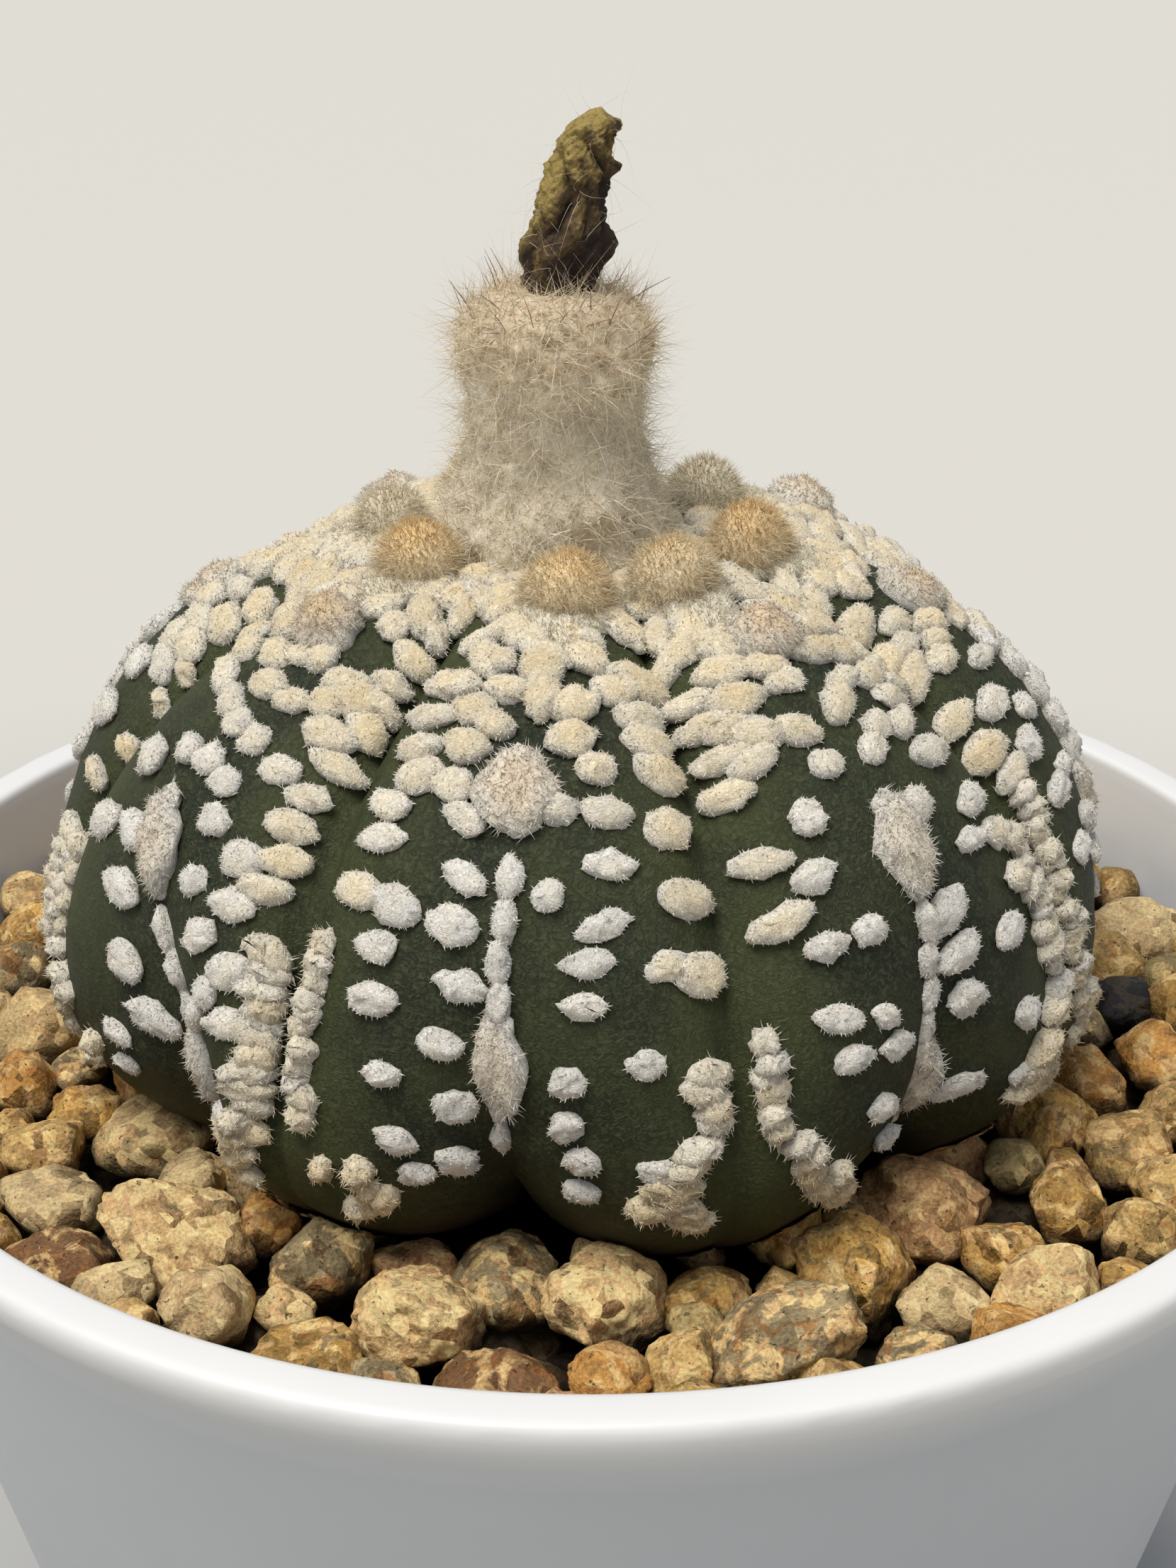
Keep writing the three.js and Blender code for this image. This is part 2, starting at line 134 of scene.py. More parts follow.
def loft(rings: Array, capped: bool = True) -> tuple[Array, Array]:
    """Skin a stack of rings with triangles.

    Args:
        rings: an array of rings, points in a ring, and x, y, z.
        capped: True to close both ends with a fan, False to join the last ring to the first.

    Returns:
        The points and the triangles.
    """
    count, sides = rings.shape[:2]
    points = rings.reshape(-1, 3)
    rows = np.arange(count - 1 if capped else count)[:, None]
    cols = np.arange(sides)[None, :]
    a = rows * sides + cols
    b = rows * sides + (cols + 1) % sides
    up = ((rows + 1) % count) * sides
    c, d = up + (cols + 1) % sides, up + cols
    faces = [np.stack([a, b, c], -1).reshape(-1, 3), np.stack([a, c, d], -1).reshape(-1, 3)]
    if capped:
        ends = np.stack([rings[0].mean(0), rings[-1].mean(0)])
        points = np.vstack([points, ends])
        first, last = count * sides, count * sides + 1
        k = np.arange(sides)
        n = (k + 1) % sides
        top = (count - 1) * sides
        faces.append(np.stack([n, k, np.full(sides, first)], -1))
        faces.append(np.stack([top + k, top + n, np.full(sides, last)], -1))
    return points, np.vstack(faces)


def mesh_object(name: str, points: Array, triangles: Array,
                attributes: dict[str, Array] | None = None) -> bpy.types.Object:
    """Make an object at the origin from points in millimetres.

    Args:
        name: the object's name.
        points: rows of x, y and z.
        triangles: rows of three point numbers, which may be empty.
        attributes: numbers or vectors to store on the points, by name.

    Returns:
        The new object, with smooth faces that point outwards.
    """
    mesh = bpy.data.meshes.new(name)
    mesh.vertices.add(len(points))
    mesh.vertices.foreach_set("co", (np.asarray(points, float) * MM).ravel())
    if len(triangles):
        corners = points[triangles]
        volume = np.einsum("ij,ij->i", corners[:, 0], np.cross(corners[:, 1], corners[:, 2])).sum()
        order = triangles if volume > 0 else triangles[:, ::-1]
        mesh.loops.add(order.size)
        mesh.loops.foreach_set("vertex_index", order.astype(np.int32).ravel())
        mesh.polygons.add(len(order))
        mesh.polygons.foreach_set("loop_start", np.arange(0, order.size, 3, dtype=np.int32))
        mesh.polygons.foreach_set("use_smooth", np.ones(len(order), bool))
    for key, values in (attributes or {}).items():
        values = np.asarray(values, float)
        kind = "FLOAT" if values.ndim == 1 else "FLOAT_VECTOR"
        layer = mesh.attributes.new(key, kind, "POINT")
        layer.data.foreach_set("value" if kind == "FLOAT" else "vector", values.ravel())
    mesh.update(calc_edges=True)
    made = bpy.data.objects.new(name, mesh)
    bpy.context.collection.objects.link(made)
    return made


def joined(name: str, parts: list[Part]) -> bpy.types.Object:
    """Make one object at the origin of many loose parts.

    Args:
        name: the object's name.
        parts: each part's points, triangles and attributes, as mesh_object takes them.

    Returns:
        The new object.
    """
    starts = np.cumsum([0] + [len(points) for points, _, _ in parts])
    triangles = [faces + start for (_, faces, _), start in zip(parts, starts)]
    attributes = {key: np.concatenate([values[key] for _, _, values in parts])
                  for key in parts[0][2]}
    points = np.concatenate([points for points, _, _ in parts])
    return mesh_object(name, points, np.concatenate(triangles), attributes)


def settle(piece: bpy.types.Object, slot: str, *nodes: str) -> None:
    """Ride a finished piece on the plant's one body, in place of the CAD nodes it stands for."""
    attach(piece, BODY)
    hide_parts(*nodes)
    triangles = sum(len(face.vertices) - 2 for face in piece.data.polygons)
    LOG.info("%s: %d triangles, for %s", piece.name, triangles, ", ".join(nodes))


# Node trees written as expressions

def operator(operation: str, swapped: bool = False) -> Callable[["Value", object], "Value"]:
    """Return the method of an operator, which adds one Math node.

    Args:
        operation: the Math node's operation.
        swapped: True where the other value comes first.

    Returns:
        The method.
    """
    def method(self: "Value", other: object) -> "Value":
        """Return the result of the operation on this value and another."""
        return self.math(operation, *((other, self) if swapped else (self, other)))
    return method


class Value:
    """A node's output socket that takes part in sums and products.

    A greater-than sign gives 1 where it holds, and 0 elsewhere.
    """

    __add__ = __radd__ = operator("ADD")
    __sub__ = operator("SUBTRACT")
    __rsub__ = operator("SUBTRACT", swapped=True)
    __mul__ = __rmul__ = operator("MULTIPLY")
    __truediv__ = operator("DIVIDE")
    __rtruediv__ = operator("DIVIDE", swapped=True)
    __pow__ = operator("POWER")
    __gt__ = operator("GREATER_THAN")

    def __init__(self, web: "Web", socket: bpy.types.NodeSocket) -> None:
        """Keep the tree and the socket."""
        self.web, self.socket = web, socket

    def math(self, operation: str, *inputs: object) -> "Value":
        """Return a Math node's result."""
        settings = {"operation": operation}
        return self.web.node("ShaderNodeMath", settings, dict(enumerate(inputs)))["Value"]

    def clamp(self) -> "Value":
        """Return the value held between 0 and 1."""
        return self.math("MINIMUM", self.math("MAXIMUM", self, 0.0), 1.0)

    def ramp(self, low: float, high: float) -> "Value":
        """Return a straight climb from 0 at low to 1 at high."""
        return ((self - low) / (high - low)).clamp()


class Outputs:
    """A node whose output sockets are fetched by name as values."""

    def __init__(self, web: "Web", node: bpy.types.Node) -> None:
        """Keep the tree and the node."""
        self.web, self.node = web, node

    def __getitem__(self, name: str) -> Value:
        """Return the named output that is in use."""
        found = next(s for s in self.node.outputs if s.name == name and s.enabled)
        return Value(self.web, found)


class Web:
    """A shader or geometry node tree that is being built."""

    def __init__(self, tree: bpy.types.NodeTree) -> None:
        """Keep the tree."""
        self.tree = tree

    def node(self, kind: str, settings: dict | None = None,
             inputs: dict | None = None) -> Outputs:
        """Add one node.

        Args:
            kind: the node's type.
            settings: its own settings, which are set first; stops are a ramp's.
            inputs: values or links for its sockets, by name or number.

        Returns:
            The node's outputs.
        """
        made = self.tree.nodes.new(kind)
        for key, value in (settings or {}).items():
            if key == "stops":
                elements = made.color_ramp.elements
                while len(elements) < len(value):
                    elements.new(0.5)
                for element, (place, colour) in zip(elements, value):
                    element.position = place
                    element.color = (*colour, 1.0)
            else:
                setattr(made, key, value)
        for key, value in (inputs or {}).items():
            if isinstance(key, int):
                socket = made.inputs[key]
            else:
                socket = next(s for s in made.inputs if s.name == key and s.enabled)
            if isinstance(value, Value):
                self.tree.links.new(value.socket, socket)
            else:
                socket.default_value = value
        return Outputs(self, made)

    def vector(self, operation: str, *inputs: object, result: str = "Vector") -> Value:
        """Return a Vector Math node's result."""
        settings = {"operation": operation}
        sockets = {("Scale" if operation == "SCALE" and k == 1 else k): value
                   for k, value in enumerate(inputs)}
        return self.node("ShaderNodeVectorMath", settings, sockets)[result]

    def axes(self, vector: Value) -> Outputs:
        """Return a vector's numbers along X, Y and Z."""
        return self.node("ShaderNodeSeparateXYZ", None, {"Vector": vector})

    def join(self, **numbers: Value) -> Value:
        """Return the vector of the numbers given for X, Y and Z, with 0 for the others."""
        return self.node("ShaderNodeCombineXYZ", None, numbers)["Vector"]


class Shader(Web):
    """A material's tree, with the nodes that every finish here uses."""

    def __init__(self, name: str, **constants: object) -> None:
        """Make the material with one principled shader.

        Args:
            name: the material's name.
            constants: plain numbers or colours for the shader's sockets, with _ for a space.
        """
        self.material = bpy.data.materials.new(name)
        self.material.use_nodes = True
        super().__init__(self.material.node_tree)
        self.shader = self.tree.nodes["Principled BSDF"]
        for key, value in constants.items():
            self.shader.inputs[key.replace("_", " ")].default_value = value
        self.place = self.node("ShaderNodeTexCoord")["Object"]

    def feed(self, name: str, value: Value) -> None:
        """Link a value to one of the shader's sockets."""
        self.tree.links.new(value.socket, self.shader.inputs[name])

    def noise(self, size: float, detail: float = 2.0, seed: float = 0.0,
              swirl: float = 0.0) -> Value:
        """Make lumpy noise.

        Args:
            size: about how far across the lumps are, in millimetres.
            detail: how many finer layers it has.
            seed: how far the pattern is shifted.
            swirl: how strongly it is twisted into strands.

        Returns:
            The noise, from 0 to 1.
        """
        shifted = self.vector("ADD", self.place, (seed, seed * 0.7, -seed))
        return self.node("ShaderNodeTexNoise", None, {
            "Vector": shifted, "Scale": 1 / (size * MM), "Detail": detail, "Roughness": 0.6,
            "Distortion": swirl,
        })["Fac"]

    def cells(self, size: float) -> Outputs:
        """Return a node with a cell for each of many points about size millimetres apart."""
        return self.node("ShaderNodeTexVoronoi", None, {
            "Vector": self.place, "Scale": 1 / (size * MM),
        })

    def facets(self, size: float) -> tuple[Value, Value]:
        """Make small flat faces, each tilted its own way.

        Args:
            size: how far across a face is, in millimetres.

        Returns:
            Their height, and a tone for each.
        """
        made = self.cells(size)
        offset = self.vector("SUBTRACT", self.place, made["Position"])
        tilt = self.vector("SUBTRACT", made["Color"], (0.5, 0.5, 0.5))
        tone = self.node("ShaderNodeSeparateColor", None, {"Color": made["Color"]})["Red"]
        return self.vector("DOT_PRODUCT", offset, tilt, result="Value") / (size * MM), tone

    def attribute(self, name: str) -> Value:
        """Return a number stored on the mesh."""
        return self.node("ShaderNodeAttribute", {"attribute_name": name})["Fac"]

    def mix(self, share: object, first: object, second: object, blend: str = "MIX") -> Value:
        """Return a mix of two colours, which may be plain tuples."""
        settings = {"data_type": "RGBA", "blend_type": blend}
        colours = [c if isinstance(c, Value) else (*c, 1.0) for c in (first, second)]
        return self.node("ShaderNodeMix", settings, {
            "Factor": share, "A": colours[0], "B": colours[1],
        })["Result"]

    def ramp(self, value: Value, *stops: tuple[float, Colour]) -> Value:
        """Return the colour of a ramp at a value."""
        return self.node("ShaderNodeValToRGB", {"stops": stops}, {"Fac": value})["Color"]

    def bump(self, height: Value, strength: float, depth: float) -> None:
        """Roughen the surface by a height that is worth depth millimetres at 1."""
        normal = self.node("ShaderNodeBump", None, {
            "Height": height, "Strength": strength, "Distance": depth * MM,
        })["Normal"]
        self.feed("Normal", normal)


# Finishes

@dataclass(frozen=True)
class SkinFinish:
    """The plant's dark green skin: matte and finely veined, like velvet.

    It is fresher towards the grooves, where the attribute groove is 1, and corky at the soil.
    """

    deep: Colour = (0.012, 0.016, 0.007)
    fresh: Colour = (0.042, 0.049, 0.014)
    vein: Colour = (0.07, 0.082, 0.036)
    corky: Colour = (0.12, 0.075, 0.04)

    def material(self, soil_line: float) -> bpy.types.Material:
        """Make the material.

        Args:
            soil_line: the height under which the skin turns brown and corky, in millimetres.

        Returns:
            The material.
        """
        web = Shader("skin", Roughness=0.6, Specular_IOR_Level=0.3)
        broad = web.noise(8, 3).ramp(0.42, 0.6)
        fine = web.noise(0.42, 4, 3, 1.6)
        fresh = (broad * 0.6 + web.attribute("groove") * 0.55).clamp()
        colour = web.mix(fresh, self.deep, self.fresh)
        colour = web.mix(fine.ramp(0.45, 0.66) * 0.7, colour, self.vein)
        height = web.axes(web.place)["Z"] / MM
        bare = (height + web.noise(3, 2, 5) * 4).ramp(soil_line + 3, soil_line - 1)
        colour = web.mix(bare * 0.8, colour, self.corky)
        web.feed("Base Color", colour)
        web.feed("Roughness", 0.5 + fine * 0.25)
        web.bump(fine, 0.8, 0.28)
        return web.material


@dataclass(frozen=True)
class WoolFinish:
    """Felted wool with painted shade at its roots, whose colour follows the attribute warm from 0 to
    1.

    nap is the height of its fibres, in millimetres.
    """

    name: str
    stops: tuple[tuple[float, Colour], ...]
    # root is how bright the painted shade leaves the wool where rise is 0.
    root: float = 0.5
    nap: float = 0.22
    sheen: float = 0.15

    def material(self) -> bpy.types.Material:
        """Return the material."""
        web = Shader(self.name, Roughness=0.9, Specular_IOR_Level=0.15, Sheen_Weight=self.sheen,
                     Sheen_Roughness=0.5)
        warm = web.attribute("warm") + (web.noise(1.3, 3, 4) - 0.5) * 0.5
        colour = web.ramp(warm.clamp(), *self.stops)
        rise = web.attribute("rise").clamp()
        strand = 0.93 + web.attribute("tint") * 0.12
        fibres = 0.76 + web.noise(0.3, 4, 0, 2.2).ramp(0.34, 0.62) * 0.24
        # Painted shade: darker towards the roots of the hairs and the foot of each pad, where rise
        # is low.
        shade = (self.root + (1 - self.root) * rise ** 0.7) * strand * fibres
        grey = web.node("ShaderNodeCombineColor", None, {0: shade, 1: shade, 2: shade})["Color"]
        web.feed("Base Color", web.mix(1.0, colour, grey, "MULTIPLY"))
        web.bump(web.noise(0.3, 4, 0, 2.2), 0.9, self.nap)
        return web.material


@dataclass(frozen=True)
class PebbleFinish:
    """Crushed stone in patches of cream, ochre and brown, each with a tone of its own.

    The attributes tone, tint, mottle and damp give a stone's colour, its place in the pattern,
    how patchy it is and where it is painted dark, as shade, low down between the others.
    """

    cream: Colour = (0.7, 0.485, 0.215)
    rust: Colour = (0.27, 0.11, 0.025)
    olive: Colour = (0.11, 0.085, 0.04)
    dark: Colour = (0.022, 0.013, 0.007)

    def material(self) -> bpy.types.Material:
        """Return the material."""
        web = Shader("pebble", Roughness=0.75, Specular_IOR_Level=0.3)
        tone = web.node("ShaderNodeAttribute", {"attribute_name": "tone"})["Color"]
        shift = web.attribute("tint") * 37
        web.place = web.vector("ADD", web.place, web.join(X=shift * MM, Y=shift * MM))
        mottled = web.attribute("mottle")
        patches = web.noise(1.9, 5, 1, 0.6)
        colour = web.mix(patches.ramp(0.5, 0.56) * mottled, tone, self.cream)
        colour = web.mix(web.noise(1.6, 4, 9, 0.8).ramp(0.55, 0.61) * mottled * 0.8, colour,
                         self.rust)
        colour = web.mix(web.noise(1.5, 5, 29, 0.8).ramp(0.57, 0.62) * mottled * 0.8, colour,
                         self.olive)
        pits = web.noise(0.5, 3, 17).ramp(0.66, 0.72)
        colour = web.mix(pits * 0.6, colour, self.dark)
        grain = web.noise(0.24, 4, 23)
        colour = web.mix(0.6, colour, web.ramp(grain, (0.3, (0.2,) * 3), (0.7, (0.82,) * 3)),
                         "OVERLAY")
        faces, shade = web.facets(1.05)
        colour = web.mix(0.5, colour, web.ramp(shade, (0.2, (0.28,) * 3), (0.8, (0.7,) * 3)),
                         "OVERLAY")
        # Painted shade: stones darken low down, where they lie between and under the others.
        colour = web.mix(web.attribute("damp") * 0.92, colour, self.dark)
        web.feed("Base Color", colour)
        web.feed("Roughness", 0.6 + grain * 0.3)
        web.bump(patches * 0.3 + grain * 0.2 - pits * 0.3 + faces * 1.6, 1.0, 0.7)
        return web.material


@dataclass(frozen=True)
class GritFinish:
    """Dark grit between and under the pebbles, and the soil."""

    name: str
    dark: Colour
    light: Colour

    def material(self) -> bpy.types.Material:
        """Return the material."""
        web = Shader(self.name, Roughness=0.95, Specular_IOR_Level=0.15)
        grain = web.noise(0.8, 5)
        crumbs = web.cells(1.1)["Distance"]
        web.feed("Base Color", web.mix(grain.ramp(0.4, 0.7), self.dark, self.light))
        web.bump(grain + crumbs, 0.9, 0.8)
        return web.material


@dataclass(frozen=True)
class PotFinish:
    """Smooth white with a soft shine and a few specks of dirt.

    The wall is painted a little greyer and bluer than the lip: painted shade, for the pot is one
    plain white.
    """

    white: Colour = (0.74, 0.735, 0.72)
    # wall is the lip's white painted greyer and bluer, as shade.
    wall: Colour = (0.54, 0.56, 0.585)
    cloudy: Colour = (0.6, 0.62, 0.64)
    dirt: Colour = (0.2, 0.15, 0.1)

    def material(self) -> bpy.types.Material:
        """Return the material."""
        web = Shader("pot_white", Roughness=0.4, Specular_IOR_Level=0.4, Coat_Weight=0.08,
                     Coat_Roughness=0.3)
        specks = web.cells(9)["Distance"].ramp(0.045, 0.03)
        specks = specks * web.noise(22, 1, 4).ramp(0.5, 0.56)
        cloud = web.noise(24, 3)
        height = web.axes(web.place)["Z"] / MM
        # Painted shade: the greyer colour below a few millimetres under the rim, inside and out.
        colour = web.mix(height.ramp(RIM_Z - 6, RIM_Z - 2), self.wall, self.white)
        colour = web.mix(cloud.ramp(0.35, 0.75) * 0.35, colour, self.cloudy)
        web.feed("Base Color", web.mix(specks * 0.6, colour, self.dirt))
        web.feed("Roughness", 0.36 + web.noise(3, 3, 8) * 0.16)
        web.bump(web.noise(5, 3, 2) + web.noise(0.5, 2, 6) * 0.06, 0.12, 0.25)
        return web.material


@dataclass(frozen=True)
class PetalFinish:
    """The dried flower: olive yellow where it is lit and smooth, dark brown in its folds, with its
    light and the shade in its folds painted on.
    """

    straw: Colour = (0.34, 0.25, 0.075)
    olive: Colour = (0.1, 0.063, 0.024)
    dark: Colour = (0.028, 0.016, 0.012)

    def material(self) -> bpy.types.Material:
        """Return the material."""
        web = Shader("dried_petal", Roughness=0.7, Specular_IOR_Level=0.3)
        fold = web.attribute("fold")
        patches = web.noise(1.1, 6, 0, 0.8)
        # Painted light and shade, over the flower's own patches: lighter where it is lit, darker in
        # its folds.
        lightness = (fold * 0.8 + patches * 1.2).ramp(0.68, 1.3)
        colour = web.ramp(lightness, (0.0, self.dark), (0.45, self.olive), (0.9, self.straw))
        veins = web.noise(0.35, 4, 7).ramp(0.5, 0.72)
        web.feed("Base Color", web.mix(veins * 0.75, colour, self.dark))
        web.bump(web.noise(0.5, 5, 3) + patches * 0.5, 0.8, 0.4)
        return web.material


@dataclass(frozen=True)
class BristleFinish:
    """Thin, dry, pinkish brown bristles."""

    pale: Colour = (0.42, 0.28, 0.2)
    brown: Colour = (0.16, 0.09, 0.06)

    def material(self) -> bpy.types.Material:
        """Return the material."""
        web = Shader("bristle", Roughness=0.6, Specular_IOR_Level=0.3)
        web.feed("Base Color", web.mix(web.attribute("rise"), self.pale, self.brown))
        return web.material


@dataclass(frozen=True)
class FloorFinish:
    """A pale floor with a painted shadow: a deeper grey pool right round the pot, fading to pale."""

    pale: Colour = (0.575, 0.56, 0.515)
    # deep is the painted shadow's grey; it fades out between near and far millimetres from the pot's
    # axis.
    deep: Colour = (0.34, 0.345, 0.345)
    near: float = 40.0
    far: float = 260.0

    def material(self) -> bpy.types.Material:
        """Return the material."""
        web = Shader("floor_pale", Roughness=0.85, Specular_IOR_Level=0.1)
        away = web.vector("LENGTH", web.place, result="Value") / MM
        cloud = web.noise(140, 2) * 0.1
        # Painted shadow: deep near the pot, pale far from it.
        share = (away.ramp(self.near, self.far) + cloud).clamp()
        web.feed("Base Color", web.mix(share, self.deep, self.pale))
        return web.material


WHITE_TO_CREAM = (
    (0.0, (0.93, 0.895, 0.82)), (0.3, (0.94, 0.85, 0.66)), (0.65, (0.93, 0.77, 0.49)),
    (1.0, (0.8, 0.6, 0.36)),
)
WHITE_TO_FAWN = (
    (0.0, (0.94, 0.9, 0.81)), (0.35, (0.93, 0.84, 0.69)), (0.65, (0.83, 0.69, 0.52)),
    (1.0, (0.9, 0.7, 0.44)),
)
CREAM_TO_GOLD = (
    (0.0, (0.95, 0.88, 0.7)), (0.35, (0.95, 0.83, 0.6)), (0.7, (0.96, 0.77, 0.47)),
    (1.0, (0.95, 0.66, 0.31)),
)
GREY_CREAM = (
    (0.0, (0.96, 0.89, 0.74)), (0.45, (0.95, 0.84, 0.63)), (1.0, (0.78, 0.62, 0.41)),
)


# Geometry node trees

class Grower:
    """A geometry node tree with named inputs, run once on an object and then removed."""

    def __init__(self, name: str, sizes: dict[str, float]) -> None:
        """Make the tree and its inputs.

        Args:
            name: the tree's name.
            sizes: the named number inputs, with their usual values.
        """
        self.tree = bpy.data.node_groups.new(name, "GeometryNodeTree")
        face = self.tree.interface
        face.new_socket("Geometry", in_out="OUTPUT", socket_type="NodeSocketGeometry")
        face.new_socket("Geometry", in_out="INPUT", socket_type="NodeSocketGeometry")
        self.ids: dict[str, str] = {}
        for key, value in sizes.items():
            kind = "NodeSocketInt" if isinstance(value, int) else "NodeSocketFloat"
            item = face.new_socket(key, in_out="INPUT", socket_type=kind)
            item.default_value = value
            self.ids[key] = item.identifier
        item = face.new_socket("Material", in_out="INPUT", socket_type="NodeSocketMaterial")
        self.ids["Material"] = item.identifier
        self.web = Web(self.tree)
        self.inputs = self.web.node("NodeGroupInput")

    def field(self, name: str, kind: str = "FLOAT") -> Value:
        """Return a number or vector stored on the geometry."""
        settings = {"data_type": kind}
        read = self.web.node("GeometryNodeInputNamedAttribute", settings, {"Name": name})
        return read["Attribute"]

    def place(self) -> Value:
        """Return where each point of the geometry is."""
        return self.web.node("GeometryNodeInputPosition")["Position"]

    def move(self, geometry: Value, offset: Value) -> Value:
        """Return the geometry with its points moved by an offset."""
        return self.web.node("GeometryNodeSetPosition", None, {
            "Geometry": geometry, "Offset": offset,
        })["Geometry"]

    def store(self, geometry: Value, name: str, value: object, domain: str = "POINT",
              kind: str = "FLOAT") -> Value:
        """Return the geometry with a number or vector stored on it."""
        settings = {"data_type": kind, "domain": domain}
        return self.web.node("GeometryNodeStoreNamedAttribute", settings, {
            "Geometry": geometry, "Name": name, "Value": value,
        })["Geometry"]

    def random(self, low: object, high: object, seed: int, kind: str = "FLOAT") -> Value:
        """Return a number or vector drawn for each point."""
        return self.web.node("FunctionNodeRandomValue", {"data_type": kind}, {
            "Min": low, "Max": high, "Seed": seed,
        })["Value"]

    def facing(self, direction: Value, spin: Value) -> Value:
        """Return a rotation that stands +z along a direction, spun about itself."""
        return self.web.node("FunctionNodeAlignRotationToVector", {"axis": "Z"}, {
            "Rotation": self.web.join(Z=spin), "Vector": direction,
        })["Rotation"]

    def standing(self, facing: Value, comb: Value, spin: Value) -> Value:
        """Return a rotation with +z along facing and +y along comb, then spun about +z."""
        up = self.web.node("FunctionNodeAlignRotationToVector", {"axis": "Z"}, {"Vector": facing})
        combed = self.web.node("FunctionNodeAlignRotationToVector", {
            "axis": "Y", "pivot_axis": "Z",
        }, {"Rotation": up["Rotation"], "Vector": comb})
        return self.web.node("FunctionNodeRotateRotation", {"rotation_space": "LOCAL"}, {
            "Rotation": combed["Rotation"], "Rotate By": self.web.join(Z=spin),
        })["Rotation"]

    def real(self, geometry: Value) -> Value:
        """Return the geometry with its instances realized."""
        return self.web.node("GeometryNodeRealizeInstances", None, {"Geometry": geometry})[
            "Geometry"]

    def close(self, geometry: Value) -> None:
        """Realize the instances, give them the material and end the tree."""
        dressed = self.web.node("GeometryNodeSetMaterial", None, {
            "Geometry": self.real(geometry), "Material": self.inputs["Material"],
        })["Geometry"]
        self.web.node("NodeGroupOutput", None, {"Geometry": dressed})

    def grow(self, host: bpy.types.Object, name: str, material: bpy.types.Material,
             **sizes: float) -> bpy.types.Object:
        """Run the tree on a host.

        Args:
            host: the object whose mesh goes in; it stays as it is.
            name: the new object's name.
            material: the finish.
            sizes: values for the named inputs, with _ for a space.

        Returns:
            A new object that holds the result as a plain mesh.
        """
        modifier = host.modifiers.new("grow", "NODES")
        modifier.node_group = self.tree
        modifier[self.ids["Material"]] = material
        for key, value in sizes.items():
            modifier[self.ids[key.replace("_", " ")]] = value
        graph = bpy.context.evaluated_depsgraph_get()
        mesh = bpy.data.meshes.new_from_object(host.evaluated_get(graph))
        host.modifiers.remove(modifier)
        mesh.name = name
        made = bpy.data.objects.new(name, mesh)
        bpy.context.collection.objects.link(made)
        return made


def strand_grower(segments: int) -> Grower:
    """Return the tree that covers a surface with thin three-sided hairs.

    The host's attributes steer it: fluff thins the hairs out, reach scales their length, comb
    leans them, and warm is carried over to them.

    Args:
        segments: how many lengths a hair bends over; 1 is straight.

    Returns:
        The tree.
    """
    made = Grower("strands", {"Density": 9.0, "Length": 1.0, "Width": 0.06, "Spread": 0.5,
                              "Lift": 1.0, "Bend": 0.0, "Comb": 0.3, "Sink": 0.1, "Seed": 1})
    web, inputs = made.web, made.inputs
    width, length = inputs["Width"] * MM, inputs["Length"] * MM
    scattered = web.node("GeometryNodeDistributePointsOnFaces", {"distribute_method": "RANDOM"}, {
        "Mesh": inputs["Geometry"], "Seed": inputs["Seed"],
        "Density": inputs["Density"] * made.field("fluff") / (MM * MM),
    })
    jitter = made.random((-1.0,) * 3, (1.0,) * 3, 11, "FLOAT_VECTOR")
    up = web.vector("SCALE", scattered["Normal"], inputs["Lift"])
    away = web.vector("ADD", up, web.vector("SCALE", jitter, inputs["Spread"]))
    combed = web.vector("SCALE", made.field("comb", "FLOAT_VECTOR"), inputs["Comb"])
    direction = web.vector("ADD", away, combed)
    cone = web.node("GeometryNodeMeshCone", {"fill_type": "NGON"}, {
        "Vertices": 3, "Side Segments": segments, "Fill Segments": 1,
        "Radius Top": 0.0, "Radius Bottom": 1.0, "Depth": 1.0,
    })["Mesh"]
    rise = web.axes(made.place())["Z"]
    swing = inputs["Bend"] * length / width * rise * rise
    # The stored rise, 0 at a hair's root and 1 at its tip, is what the wool's finish paints shade
    # by.
    hair = made.move(made.store(cone, "rise", rise), web.join(X=swing, Z=0 - inputs["Sink"]))
    reach = made.field("reach") * made.random(0.55, 1.15, 5) * length
    thick = made.random(0.75, 1.25, 6) * width
    hairs = web.node("GeometryNodeInstanceOnPoints", None, {
        "Points": scattered["Points"], "Instance": hair,
        "Scale": web.join(X=thick, Y=thick, Z=reach),
        "Rotation": made.facing(direction, made.random(0.0, 2 * math.pi, 7)),
    })["Instances"]
    made.close(made.store(hairs, "tint", made.random(0.0, 1.0, 8), "INSTANCE"))
    return made


